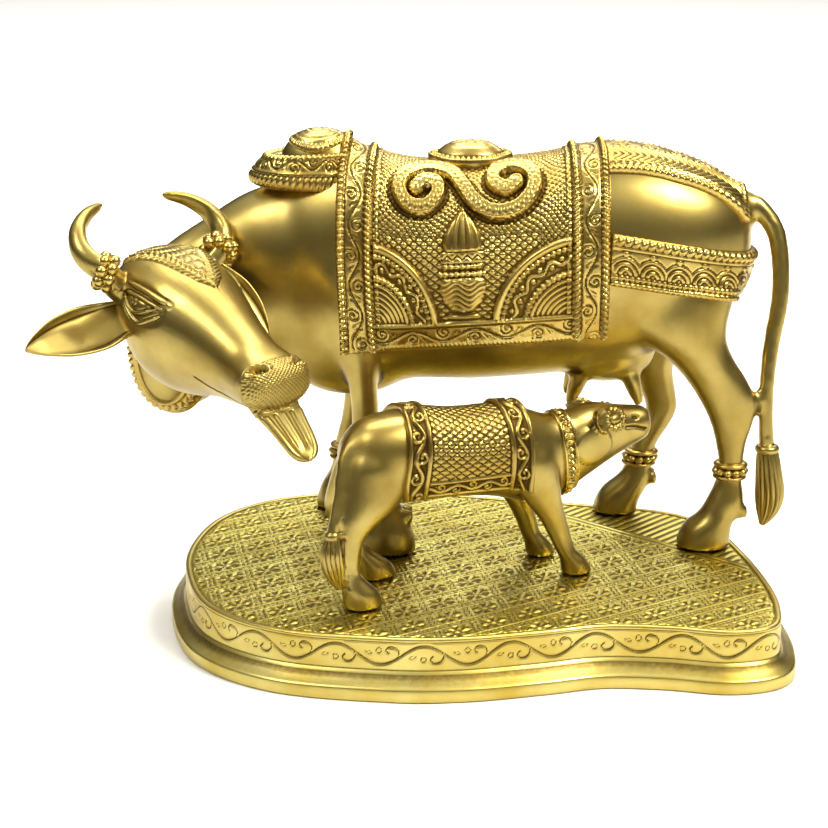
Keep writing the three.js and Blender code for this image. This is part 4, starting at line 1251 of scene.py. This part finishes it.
def cloth_height():
    x, v = cloth_x + 0 * cloth_arc, cloth_arc
    near = v > 0
    from_hem = np.where(near, near_hem - v, v - far_hem)
    uneven = 0.5 * np.sin(0.31 * x + 0.17 * v) + 0.4 * np.sin(0.23 * v - 0.12 * x)
    beside_pot = (np.abs(v) > 50) & (np.abs(x - POT_X) < 34)
    height = np.where(beside_pot, 0.7 + 0.9 * scales(x * 0.8, v, 2.6),
                      0.75 + 0.85 * scales(x + uneven, v - uneven, 2.1))
    for fan in FANS:
        marks, share = fan_marks(x, v, fan)
        height = over(height, marks, share * near)
    height = np.where(near, np.maximum(height, pot_marks(x, v)), height)
    gap, along = line_distance(x, v, SCROLL, 14)
    height -= 0.7 * edge(5.4 - gap, 1.0) * near
    chased = 5.0 + 0.4 * dome(gap, 3.4) - 0.4 * zigzag(along, gap - 1.3, 2.6, 1.6, 0.5)
    height = over(height, chased, edge(3.2 - gap, 0.6) * near)
    hem, border = CLOTH["hem"], CLOTH["border"]
    row = 2.0 + 0.9 * vine(x + 6, from_hem - 6.6, 28, 2.6, 0.62) + 0.9 * dome(from_hem - (hem - 0.9), 0.9)
    row = np.where(from_hem < 3.0, 1.6 + 1.1 * rope(x, from_hem - 1.5, 1.9, 1.7, 0.5), row)
    height = over(height, row, edge(hem - from_hem))
    for across, shift in ((x - CLOTH["from"], 0), (CLOTH["to"] - x, 12)):
        height = over(height, border_marks(v + shift, across, border), edge(border - across))
        height += 0.7 * band(across, border + 0.3, border + 2.2) * (from_hem > hem)
    return height


patch("saddle_cloth", cloth_points, cloth_height(), (0, SPINE_Y, AXIS_Z))


# %% [markdown]
# ## Bands on the rump
#
# Behind the saddle a broad band runs down the spine to the tail, and a belt goes round both flanks under
# the tail. Both would stop a real saddle from sliding forward, and both carry chevrons, arches and rows of
# beads.

# %% Spine band
RUMP_Z = 160


def spine_band():
    xs = np.linspace(60.2, 124.5, 104)
    angles = np.radians(np.linspace(-75, 75, 151))
    hits = cast_round(skin_bvh, xs, (SPINE_Y, RUMP_Z), angles, 10, 40)
    half = np.interp(xs, [60, 92, 106, 116, 126], [26.4, 26, 24.2, 22.4, 20.4])
    points, where = resampled(hits, arcs_of(hits, angles), -half, half, 86)
    x, across = xs[:, None] + 0 * where, half[:, None] - np.abs(where)
    chevrons = np.cos(TURN * (x + 1.3 * np.abs(across - 11)) / 3.3) * band(across, 5.4, 17.5, 0.6)
    height = 1.9 + 0.5 * chevrons - 0.9 * curl((x + 4) % 13 - 6.5, across - 22, 1.5, 4.4, 0.7)
    height = np.maximum(height * (across > 4.4), 1.0 + 2.3 * rope(x, across - 2.2, 2.7, 2.1, 0.5))
    height += 0.8 * dome(across - 5.2, 0.8)
    height = np.maximum(height, 1.0 + 1.8 * beads(x, across - 18, 2.6, 1.25))
    ends = 2.0 + 0.9 * beads(across, 123 - x, 2.6, 1.3)
    height = np.where(x > 121.6, ends, height)
    return patch("spine_band", blurred(points, 4), height, (90, SPINE_Y, RUMP_Z))


# %% Belt round the flanks
BELT = {"axis_x": 80.0, "half": 11.6, "rows": 40, "grain": 0.68, "saddle_x": 60.2}


def belt_centre(x):
    return np.interp(x, [60, 78, 101, 125, 132], [166.2, 163.2, 158.8, 153.6, 152.6])


def flank_belt():
    """Rays fan out from an upright line in the rump, once to find the belt's height and once for its rows."""
    turns = np.radians(np.linspace(-117.5, 117.5, 300))
    rise = np.linspace(BELT["half"], -BELT["half"], BELT["rows"])
    middle = BELT["rows"] // 2
    ways = np.stack([np.cos(turns), -np.sin(turns), 0 * turns], -1)[:, None]

    def fanned(heights, rounds):
        starts = np.stack(np.broadcast_arrays(BELT["axis_x"], SPINE_Y, heights), -1)
        return starts + blurred(reaches(skin_bvh, starts, ways, 45), rounds)[..., None] * ways

    level = np.full((len(turns), 1), float(RUMP_Z)) + rise[middle]
    points = fanned(belt_centre(fanned(level, 0)[..., 0]) + rise, 8)
    keep = (points[:, middle, 0] > BELT["saddle_x"]) | (np.abs(turns) < 1.5)
    points = blurred(points[keep], 4)
    along = lengths(points[:, middle])
    places = np.linspace(0, along[-1], round(along[-1] / BELT["grain"]) + 1)
    points = np.apply_along_axis(lambda column: np.interp(places, along, column), 0, points)
    a, c = np.broadcast_arrays(places[:, None] - along[-1] / 2, rise)
    arch = np.hypot((a % 12.4) - 6.2, (c + 5.6) * 0.95)
    height = 1.5 + np.where(arch < 8.2, 1.0 * ripple(arch, 2.3), 0.5) * band(c, -5.6, 5.2, 0.6)
    height = np.maximum(height, (1.6 + 1.3 * beads(a - 6.2, c - 3.8, 12.4, 1.4)))
    height = np.maximum(height * (c < 6.6), 1.0 + 2.9 * rope(a, c - 9.0, 3.6, 2.5)) + 1.0 * dome(c - 5.9, 0.7)
    height = np.maximum(height, 1.5 + 1.2 * beads(a, c + 7.1, 2.5, 1.25))
    height = np.maximum(height, 1.0 + 1.9 * rope(a, c + 10.1, 2.5, 1.4, -0.5))
    return patch("flank_belt", points, height, (BELT["axis_x"], SPINE_Y, RUMP_Z))


spine_band()
flank_belt()


# %% [markdown]
# ## On her back
#
# A domed medallion lies on the saddle, and the hump wears a flared collar at its foot and a small beaded
# cap. They are turned forms, so each grid below goes round a centre and its first and last columns are one.

# %% Round grids
DROP_FROM = 240.0


def round_grid(centre, wide, long, count):
    """Points on the cow's skin round a centre, found by rays from above, and the turn at each column."""
    turns = np.linspace(0, TURN, count)
    x = centre[0] + np.outer(np.cos(turns), wide)
    y = centre[1] + np.outer(np.sin(turns), long)
    points = np.dstack([x, y, np.full(x.shape, 190.0)])
    for i in np.ndindex(x.shape):
        hit = skin_bvh.ray_cast(Vector((x[i], y[i], DROP_FROM)) * MM, Vector((0, 0, -1)))
        if hit[0] is not None:
            points[i][2] = hit[0].z / MM
    points[-1] = points[0]
    return points, turns[:, None]


def joined(points, rounds):
    """Rubs a round grid smooth and brings its two ends together again."""
    points = blurred(points, rounds)
    points[-1] = points[0] = (points[0] + points[-1]) / 2
    return points


# %% Medallion
MEDAL = {"at": (-1.6, 42), "long": 19.5, "wide": 15.5, "top": 214.4, "dome": 0.76}


def medallion():
    share = np.concatenate([np.linspace(1, MEDAL["dome"], 12), np.linspace(0.74, 0.006, 26)])
    size = MEDAL["long"] * share
    points, turns = round_grid(MEDAL["at"], size, MEDAL["wide"] * share, 241)
    level = points[..., 2].max() + 2.6
    crown = level + (MEDAL["top"] - level) * np.sqrt(np.clip(1 - (share / MEDAL["dome"])**2, 0, 1))
    rim = points[..., 2] + 3.2
    points[..., 2] = np.where(share > MEDAL["dome"], rim * 0.4 + level * 0.6, crown)
    height = 1.7 * beads(turns * 17.0, size - 17.2, 17.0 * TURN / 42, 1.25)
    height += 0.6 * dome(size - 19.0, 0.6) + 0.5 * dome(size - 14.6, 0.8) + 0.3 * dome(size - 9, 0.8)
    height += 0.3 * ripple(turns, TURN / 12) * band(size, 1.5, 7.5, 1.5)
    return patch("medallion", joined(points, 4), height, (*MEDAL["at"], 190), skirt=6, ring=True)


medallion()

# %% Collar and cap of the hump
HUMP_BAND = {"x": -77.5, "foot": 194.6, "tall": 12.0, "around": 20.5}
HUMP_MIDDLE = (-71.5, 41)


def hump_collar():
    """A round-shouldered collar: its foot stands over the shoulders, and its top leans on the hump."""
    count, share = 260, np.linspace(0, 1, 30)
    turns = np.linspace(0, TURN, count)[:, None]
    cosine, sine = np.cos(turns), np.sin(turns)
    x = HUMP_BAND["x"] + np.where(cosine > 0, 21.0, 23.5) * cosine
    grown = np.clip((x + 101) / 40, 0, 1)
    y = SPINE_Y - (18.5 + 2.5 * grown) * np.sign(sine) * np.abs(sine)**np.where(cosine > 0, 0.5, 1)
    away = np.hstack([x, y]) - HUMP_MIDDLE
    foot = np.linalg.norm(away, axis=-1)[:, None]
    ways = np.hstack([away / foot, 0 * x])
    low, tall = HUMP_BAND["foot"] - 2.5 * grown, HUMP_BAND["tall"] + 5.0 * grown
    starts = np.hstack([np.tile(HUMP_MIDDLE, (count, 1)), low + tall])
    top = np.minimum(reaches(skin_bvh, starts, ways, 0)[:, None], foot - 2)
    lean = share * math.pi / 2
    reach = top + (foot - top) * np.cos(lean)**0.6
    points = starts[:, None] + ways[:, None] * reach[..., None]
    points[..., 2] = low + tall * np.sin(lean)**0.85
    points[-1] = points[0]
    around, whole = turns * HUMP_BAND["around"], TURN * HUMP_BAND["around"]
    across = share * 15.0 + 0 * turns
    height = 1.6 + 0.9 * vine(around, across - 8.4, whole / 8, 2.0, 0.6, 2.0)
    height = np.maximum(height * (across > 4.2), 0.9 + 2.4 * rope(around, across - 2.1, whole / 50, 2.1))
    height += 0.9 * dome(across - 4.6, 0.7)
    height = np.maximum(height * (across < 10.4), 0.8 + 1.9 * rope(around, across - 11.6, whole / 46, 1.6))
    return patch("hump_collar", points, height, (-72, 42, 190), skirt=3, ring=True)


def hump_cap():
    r = np.linspace(13.2, 0.12, 26)
    points, turns = round_grid(HUMP_MIDDLE, r, r * 0.9, 181)
    height = 0.35 + 0.9 * beads(turns * 12, r - 12.0, 12 * TURN / 36, 1.0)
    height = np.maximum(height, 0.5 + 0.5 * dome(r - 9.9, 0.8))
    height += 0.25 * ripple(r, 2.6) * (r < 9)
    return patch("hump_cap", joined(points, 6), height, (-71, 41, 195), skirt=2, ring=True)


hump_collar()
hump_cap()


# %% [markdown]
# ## The plinth's wall
#
# One incised vine runs all round the upper wall. Its stem is a plain wave, and in every bend a tendril
# leaves it and ends in a hook. The cut is 0.5 mm deep and is part of the plinth's own skin.

# %% Plinth with its vine
TENDRIL = [[0.44, 1.7], [0.465, -0.8], [0.43, -3.0], [0.36, -3.5], [0.32, -2.0], [0.345, -0.7]]
WAVE, SWING, CUT = PERIMETER / round(PERIMETER / 37), 4.3, 0.5


def wall_marks(along, across):
    """The vine. A bend lies at the middle of the front, and each tendril is mirrored in the next bend."""
    front = np.argmin(np.hypot(RIM_CURVE[:, 0] + 22.9, RIM_CURVE[:, 1] + 98.5))
    along = along - front * PERIMETER / len(RIM_CURVE) + WAVE / 4
    a = along % WAVE
    cut = groove(off_wave(along, across, WAVE, SWING), 0.8)
    for shift, mirror in ((0, 1), (0.5, -1)):
        gap, _ = line_distance(a, across, [[(t + shift) * WAVE, c * mirror] for t, c in TENDRIL])
        eye = np.hypot(a - (0.24 + shift) * WAVE, across + 1.9 * mirror)
        rise = 0.9 - (a / WAVE - 0.12 - shift) * 9
        leaf = np.hypot((a - (0.12 + shift) * WAVE) / 2.0, across + rise * mirror)
        cut = highest(cut, groove(gap, 0.72), 0.7 * groove(eye - 1.1, 0.5), 0.5 * groove(leaf - 0.6, 0.45))
    return -CUT * cut


def plinth_body():
    levels = np.linspace(WALL_LOW, WALL_TOP, 22)
    count = len(RIM_CURVE)
    around = np.arange(count) * PERIMETER / count
    marks = wall_marks(*np.broadcast_arrays(around, (levels - 18.7)[:, None]))
    marks[:2], marks[-1], marks[-2] = 0, 0, -0.3
    rings = []
    for out, z in [*FOOT, *zip(marks, levels), *LIP]:
        rings.append(np.column_stack([RIM_CURVE + np.reshape(out, (-1, 1)) * RIM_OUT, np.full(count, z)]))
    bm = bmesh.new()
    loft(bm, rings)
    return as_object(closed(bm), "plinth")


finish_piece(plinth_body(), ["base"])


# %% [markdown]
# ## The carpet
#
# The top of the plinth is cut like a carpet: slanting double lines with rows of beads divide it into cells,
# and each cell holds a flower with leaves. A plain lip frames it. The far right corner has only a border
# and ribs.

# %% Carpet
CORNER = {"at": (47, 55), "run": (0.732, -0.681)}
CELL = (17.5, 15.5)
CARPET = {"grain": 0.77, "inset": 2.75, "half": [132, 100], "floor": 25.1, "under": 24.4}


def carpet_height(x, y):
    """Cells between two families of slanting lines. Each cell has a flower in its middle and four leaves."""
    across = 0.981 * x + 0.194 * y, -0.55 * x + 0.835 * y
    along = -0.194 * x + 0.981 * y, 0.835 * x + 0.55 * y
    ia, ib = ((c / cell - np.floor(c / cell) - 0.5) * cell for c, cell in zip(across, CELL))
    r, angle = np.hypot(ia, ib), np.arctan2(ib, ia)
    flower = 0.75 * dome(r, 1.5) + 0.8 * dome(r - 3.9, 2.3) * np.clip(np.cos(6 * angle), 0, 1)**0.7
    tips = 0.6 * dome(r - 7.0, 1.3) * np.clip(np.cos(6 * angle + math.pi), 0, 1)**0.6
    far = np.hypot(np.abs(ia) - 5.6, np.abs(ib) - 4.6)
    leaves = 0.55 * dome(far, 2.0) * (0.55 + 0.45 * np.cos(TURN * (ia - ib) / 1.9))
    height = 0.12 + highest(flower, tips, leaves)
    for c, cell, run in zip(across, CELL, along):
        off = from_nearest(c, cell)
        lines = highest(0.18 + 0.62 * dome(np.abs(off) - 2.1, 0.75), 0.85 * beads(run, off, 2.2, 0.95))
        height = over(height, lines, edge(2.9 - np.abs(off)))
    dx, dy = x - CORNER["at"][0], y - CORNER["at"][1]
    off = -dx * CORNER["run"][1] + dy * CORNER["run"][0]
    run = dx * CORNER["run"][0] + dy * CORNER["run"][1]
    ribs = 0.45 + 0.3 * np.cos(TURN * run / 4.6) * edge(off - 7, 1.5)
    ribs += 0.35 * dome(off - 1.2, 0.9) + 0.35 * dome(off - 4.6, 0.9)
    return over(height, ribs, edge(off, 0.8))


def carpet():
    """A flat grid trimmed to the plinth's outline, dropped at its border and raised by its marks."""
    inner = RIM_CURVE - CARPET["inset"] * RIM_OUT
    polar = np.arctan2(inner[:, 1], inner[:, 0])
    order = np.argsort(polar)
    polar, reach = polar[order], np.hypot(*inner[order].T)

    def limit(x, y):
        return np.interp(np.arctan2(y, x), polar, reach, period=TURN)

    columns, rows = (round(2 * half / CARPET["grain"]) for half in CARPET["half"])
    bm = bmesh.new()
    bmesh.ops.create_grid(bm, x_segments=columns, y_segments=rows, size=1)
    centres = np.array([f.calc_center_median()[:2] for f in bm.faces]) * CARPET["half"]
    outside = np.hypot(*centres.T) > limit(*centres.T)
    bmesh.ops.delete(bm, geom=[f for f, out in zip(bm.faces, outside) if out], context="FACES")
    for vert in [v for v in bm.verts if v.is_boundary]:
        x, y = vert.co.x * CARPET["half"][0], vert.co.y * CARPET["half"][1]
        share = limit(x, y) / math.hypot(x, y)
        vert.co.x, vert.co.y = vert.co.x * share, vert.co.y * share
    drop_wall(bm)
    bmesh.ops.poke(bm, faces=bmesh.ops.holes_fill(bm, edges=border(bm), sides=0)["faces"])
    piece = as_object(closed(bm), "carpet")
    x, y, z = (points_of(piece.data) * MM * [*CARPET["half"], 1]).T
    top = CARPET["floor"] + carpet_height(x, y) * edge(limit(x, y) - np.hypot(x, y) - 0.6, 1.0)
    set_points(piece.data, np.stack([x, y, np.where(z < -0.5, CARPET["under"], top)], 1))
    return finish_piece(piece)


carpet()


# %% [markdown]
# ## Rings and beads
#
# Each of the cow's shins wears a ring with a row of big beads, both horns stand in a wreath of them, and a
# collar lies on her throat behind the jaw. The rings are grids rolled round the limb, the wreaths are
# balls. Her tail ends in a lock of hair under a knot.

# %% Tail's tuft
def tail_tuft():
    """A lock of hair under a ring. Its grooves are pressed into round rings as they are made."""
    rings = []
    for ring in tube_rings(TUFT, 9, 96):
        centre = ring.mean(0)
        spokes = ring - centre
        around = np.arctan2(spokes[:, 1], spokes[:, 0])
        wave = np.cos(15 * around + 0.06 * centre[2]) + 0.5 * np.cos(26 * around - 0.05 * centre[2])
        rings.append(centre + spokes * (1 + 0.07 * wave * edge(72 - centre[2], 3))[:, None])
    bm = bmesh.new()
    loft(bm, rings)
    x, y, z = TUFT[1][:3]
    lifts = np.linspace(2.15, -2.15, 9)
    knot = [[x, y, z + lift, 3.4 + 2.3 * math.sqrt(1 - (lift / 2.2)**2)] for lift in lifts]
    loft(bm, tube_rings(knot, 1, 40))
    return finish_piece(as_object(closed(bm), "tail_tuft"))


tail_tuft()

# %% Rings that close
def round_lengths(ring, bead):
    """Distance along a closed ring, and the pitch nearest to a bead's that fits it without a gap."""
    whole = legs_of(ring).sum()
    return lengths(ring)[:, None], whole / round(whole / bead)


def girdle(tree, starts, ways, miss, most, rounds):
    """A strap round a limb, from rays in all ways from each start on its middle line."""
    reach = joined(reaches(tree, starts, ways[:, None], miss, most), rounds)
    points = starts + reach[..., None] * ways[:, None]
    points[-1] = points[0]
    return points


# %% Anklets
ANKLETS = {"near_hind": 63.5, "far_hind": 54.5, "near_fore": 56, "far_fore": 56}
ANKLET_TALL = 8.4


def anklet(name, z):
    """A ring round a shin: a ridge, a row of beads and a thinner ridge."""
    up = np.linspace(-ANKLET_TALL / 2, ANKLET_TALL / 2, 20)
    angles = np.linspace(0, TURN, 97)
    columns = []
    for level in z + up:
        front, rear, y, deep = row_at(LEGS[name], level)
        w, t = oval(angles, (rear - front) / 2 + 0.3, deep + 0.3, 2.1)
        columns.append(np.stack([(front + rear) / 2 + w, y + t, 0 * w + level], -1))
    points = np.stack(columns, 1)
    points[-1] = points[0]
    along, pitch = round_lengths(points[:, 10], 3.6)
    height = np.maximum(1.9 * dome(up - 2.7, 1.2), 1.5 * dome(up + 3.3, 0.9))
    height = 0.2 + np.maximum(height, 2.4 * beads(along, up + 0.5, pitch, 1.9))
    centre = points.reshape(-1, 3).mean(0)
    return patch(name + "_anklet", points, height, centre, skirt=1.2, ring=True)


for name, z in ANKLETS.items():
    anklet(name, z)

# %% Wreaths at the horns
WREATH = {"beads": 16, "bead": (2.8, 2.8, 2.8), "radius": 6.3, "lift": 2.0}
WREATH_BED = [(-3.6, 4.8), (-3.2, 6.0), (0, 6.4), (3.0, 6.0), (3.6, 4.6)]


def horn_wreaths():
    """Balls on a round bed, in turn a little above and a little below its middle."""
    bm = bmesh.new()
    for side in (-1, 1):
        axis = Vector((-5, 6 * side, 1)).normalized()
        first = axis.cross(Vector((1, 0, 0))).normalized()
        second = axis.cross(first)
        root = Vector((-1.2, 30.2 * side, 1.0))

        def spot(lift, radius, angle):
            return root + axis * lift + radius * (math.cos(angle) * first + math.sin(angle) * second)

        for k, angle in enumerate(turned(WREATH["beads"])):
            lift = WREATH["lift"] if k % 2 else -WREATH["lift"]
            ball(bm, from_head(spot(lift, WREATH["radius"], angle)), WREATH["bead"], detail=2)
        loft(bm, [[spot(*row, angle) for angle in turned(32)] for row in WREATH_BED], from_head)
    return finish_piece(as_object(closed(bm), "horn_wreaths"))


horn_wreaths()

# %% Collar
COLLAR = {"at": (-141, 14.5, 126.5), "facing": (0.3, 1, 0.05), "half": 5.6}


def collar():
    facing = Vector(COLLAR["facing"]).normalized()
    across = facing.cross(Vector((0, 0, 1))).normalized()
    rise = across.cross(facing)
    up, angles = np.linspace(-COLLAR["half"], COLLAR["half"], 18), np.linspace(0, TURN, 261)
    ways = np.outer(np.cos(angles), across) + np.outer(np.sin(angles), rise)
    points = girdle(skin_bvh, COLLAR["at"] + up[:, None] * facing, ways, 30, 60, 14)
    along, pitch = round_lengths(points[:, 9], 3.4)
    height = 1.1 + 0.7 * dome(up + 5.0, 0.7) + 0.7 * dome(up - 5.0, 0.7)
    height = np.maximum(height, 0.9 + 2.0 * beads(along, up + 2.3, pitch, 1.65))
    height -= 0.8 * zigzag(along, up - 2.4, pitch * 1.2, 3.0, 0.7)
    return patch("collar", points, height, COLLAR["at"], skirt=2.0, ring=True)


collar()


# %% [markdown]
# ## The calf's cloth
#
# The calf wears a small copy of the saddle: a lattice of cut lines between two borders with bold raised
# scrolls, and a narrow scrolled hem. Its necklace is a row of lozenges between two lines.

# %% Calf cloth
CALF_CLOTH = {"from": -36.5, "to": 25.5, "drop": (72.5, 68.5), "border": 11.5, "hem": 8.5, "grain": 0.47}
CALF_AXIS_Z = 86
calf_bvh = skin_tree(calf)


def s_scrolls(along, across, wave, half, stem):
    """A running wave with a raised curl in every bend."""
    line = dome(off_wave(along, across, wave, half * 0.5), stem)
    a, hand = bends(along, wave)
    curls = curl(a + 0.6, (across + hand * half * 0.3) * hand, 1.25, half * 0.78, stem)
    return np.maximum(line, curls) * edge(half - np.abs(across), 0.6)


def calf_cloth():
    first, last, grain = (CALF_CLOTH[key] for key in ("from", "to", "grain"))
    xs = np.linspace(first, last, round((last - first) / grain) + 1)
    angles = np.radians(np.linspace(-135, 135, 181))
    hits = cast_round(calf_bvh, xs, (0, CALF_AXIS_Z), angles, 8, 16, from_calf, CALF_TURN)
    heights = np.interp(xs, [first, last], CALF_CLOTH["drop"])
    points, v, near, far = hanging(hits, angles, heights, grain, 20, 5)
    points[..., 0] += 5.0 * (1 - np.clip(np.abs(v) / 38, 0, 1)) * np.clip(-xs[:, None] / 36, 0, 1)
    x = xs[:, None] + 0 * v
    from_hem = np.where(v > 0, near - v, v - far)
    cuts = [groove(from_nearest((x * 0.6 + way * v * 0.92) / 3.1), 0.15) for way in (1, -1)]
    height = 1.5 - 0.55 * highest(*cuts)
    hem, border = CALF_CLOTH["hem"], CALF_CLOTH["border"]
    row = 1.2 + 0.9 * s_scrolls(x, from_hem - 4.2, 15, 2.9, 0.7)
    row += 0.8 * dome(from_hem - 0.8, 0.8) + 0.9 * dome(from_hem - hem + 0.8, 0.9)
    height = over(height, row, edge(hem - from_hem))
    for across in (x - first, last - x):
        row = highest(1.4 + 1.3 * s_scrolls(v + 3, across - border / 2, 17.5, 3.9, 0.95),
                      1.0 + 2.0 * dome(across - 1.1, 1.2), 1.0 + 2.0 * dome(across - border + 1.1, 1.2))
        height = over(height, row, edge(border - across))
    inside = from_calf((-5, 0, CALF_AXIS_Z))
    return patch("calf_cloth", from_calf(points), height, inside, skirt=2.0)


# %% Necklace
NECKLACE = {"at": (47.5, 0, 80.0), "lean": 0.1, "half": 3.6}


def necklace():
    """A row of lozenges between two lines, on a strap that leans with the neck."""
    cosine, sine = math.cos(NECKLACE["lean"]), math.sin(NECKLACE["lean"])
    up, angles = np.linspace(-NECKLACE["half"], NECKLACE["half"], 15), np.linspace(-math.pi, math.pi, 221)
    ways = np.outer(np.cos(angles), [-sine, 0, cosine]) - np.outer(np.sin(angles), [0, 1, 0])
    starts = from_calf(NECKLACE["at"] + np.outer(up, [cosine, 0, sine]))
    points = girdle(calf_bvh, starts, ways @ np.array(CALF_TURN).T, 14, 30, 8)
    along, pitch = round_lengths(points[:, 7], 3.1)
    lozenges = np.clip(1 - np.abs(from_nearest(along, pitch)) / 1.35 - np.abs(up) / 2.2, 0, 1)**0.6
    height = 0.6 + highest(0.8 * dome(up + 3.0, 0.7) + 0.8 * dome(up - 3.0, 0.7), 1.5 * lozenges)
    return patch("necklace", points, height, starts[7], skirt=1.2, ring=True)


calf_cloth()
necklace()


# %% [markdown]
# ## Brass
#
# Temple brass is copper with zinc and a little lead. It is chased, scoured bright, rubbed with a cloth and
# then lacquered. Ridges stay a pale yellow, and the hollows keep a brown-green film that no cloth reaches,
# so every mark shows twice, by its shadow and by its colour. Each point therefore carries a number for how
# deep it lies: the skin is averaged over a few millimetres, and a point below that average lies in a
# hollow.

# %% How deep each point lies
def mark_hollows(piece, depths):
    """depths are pairs: rounds of averaging, and the depth in millimetres that counts as full after them."""
    mesh = piece.data
    points, normals, mean = points_of(mesh), per_point(mesh, "normal"), averager(mesh)
    soft, depth = points.copy(), np.zeros(len(points))
    for rounds in range(1, depths[-1][0] + 1):
        soft = (soft + mean(soft)) / 2
        for count, reach in depths:
            if rounds == count:
                depth += np.clip(((soft - points) * normals).sum(1) / reach, -1, 1) / len(depths)
    layer = mesh.attributes.new("hollow", "FLOAT", "POINT")
    layer.data.foreach_set("value", (0.5 + 0.5 * depth).astype(np.float32))


# %% [markdown]
# Real grain sizes give the patterns their scale: clouds of lacquer about 25 mm wide, specks of film about 2
# mm and scratches of less than 1 mm, which are drawn a little coarser than in life so that they show.

# %% Brass in four finishes, and a darker copy for painted shade
def brass(name, bright, warm, film, gloss, dull, covered, rub=(1, 1, 1), grit=0.1):
    """bright and warm are the metal, film the dirt in hollows. covered is how shallow a hollow it fills."""
    tree, material = new_material(name)
    surface = tree.nodes["Principled BSDF"]
    place = node(tree, "TexCoord").outputs["Object"]
    deep = node(tree, "Attribute", {"attribute_name": "hollow"}).outputs["Fac"]
    cloud = node(tree, "TexNoise", Vector=place, Scale=38.0, Detail=4.0, Roughness=0.55).outputs["Fac"]
    speck = node(tree, "TexNoise", Vector=place, Scale=420.0, Detail=5.0, Roughness=0.7).outputs["Fac"]
    ragged = node(tree, "Math", {"operation": "MULTIPLY_ADD"}, _0=speck, _1=0.16, _2=deep).outputs[0]
    share = node(tree, "MapRange", {"interpolation_type": "SMOOTHSTEP"}, Value=ragged, From_Min=covered,
                 From_Max=covered + 0.28).outputs[0]
    tone = node(tree, "MapRange", Value=cloud, From_Min=0.32, From_Max=0.68).outputs[0]
    metal = node(tree, "Mix", {"data_type": "RGBA"}, _0=tone, _6=colour(bright), _7=colour(warm)).outputs[2]
    skin_colour = node(tree, "Mix", {"data_type": "RGBA"}, _0=share, _6=metal, _7=colour(film)).outputs[2]
    tree.links.new(skin_colour, surface.inputs["Base Color"])
    surface.inputs["Metallic"].default_value = 1.0
    patchy = node(tree, "MapRange", Value=cloud, From_Min=0.3, From_Max=0.7, To_Min=gloss,
                  To_Max=gloss + 0.09).outputs[0]
    rough = node(tree, "MapRange", Value=share, To_Max=dull).outputs[0]
    total = node(tree, "Math", {"operation": "ADD"}, _0=patchy, _1=rough).outputs[0]
    tree.links.new(total, surface.inputs["Roughness"])
    turned_place = node(tree, "Mapping", Vector=place, Scale=rub).outputs[0]
    scratch = node(tree, "TexNoise", Vector=turned_place, Scale=1500.0, Detail=3.0,
                   Roughness=0.6).outputs["Fac"]
    relief = node(tree, "Math", {"operation": "MULTIPLY_ADD"}, _0=scratch, _1=0.4, _2=speck).outputs[0]
    bump = node(tree, "Bump", Height=relief, Strength=grit, Distance=0.0006)
    tree.links.new(bump.outputs[0], surface.inputs["Normal"])
    return material


ALONG_BODY = (0.06, 1, 1)
FINE, ALL = ((3, 0.12), (12, 0.4)), ((4, 0.12), (16, 0.35), (60, 0.9))
# Cast brass rubbed along the body with a cloth: soft long highlights on a calm skin.
polished = brass("rubbed_brass", "#B7A35E", "#9C8542", "#5C4822", 0.29, 0.16, 0.7, ALONG_BODY, 0.05)
# Chased brass, scoured on its ridges: every mark has a bright top and a brown foot.
chased = brass("chased_brass", "#CBB568", "#B39448", "#5F491C", 0.24, 0.22, 0.56)
# Lacquered brass: the plinth's smooth walls stay the yellowest, with film only in the cut vine.
plain = brass("lacquered_plinth_brass", "#D2C274", "#BFA64C", "#5F4A1E", 0.3, 0.16, 0.6, grit=0.08)
# Brass punched close and deep: the carpet glitters, because its facets look in many ways.
sparkling = brass("punched_carpet_brass", "#D0C466", "#B8A546", "#675520", 0.3, 0.16, 0.62, grit=0.14)
# Chased brass made darker and browner for the calf's cloth: painted shade for its place under the mother.
shade_darkened_chased = brass("chased_brass_darkened_as_painted_shade", "#B7A158", "#9E8440", "#4E3A17", 0.25, 0.22, 0.5)
# The calf's cloth takes the darker copy of chased brass, which is painted shade.
FINISHES = {"plinth": (plain, ((1, 0.11),)), "carpet": (sparkling, FINE), "calf_cloth": (shade_darkened_chased, ALL)}
for name in ("cow_skin", "cow_head", "cow_ears", "calf_skin", "tail_tuft"):
    FINISHES[name] = polished, FINE
for piece in [o for o in bpy.data.objects if o.type == "MESH" and not o.data.materials]:
    finish, depths = FINISHES.get(piece.name, (chased, ALL))
    mark_hollows(piece, depths)
    piece.data.materials.append(finish)
    print(piece.name, "is", finish.name)
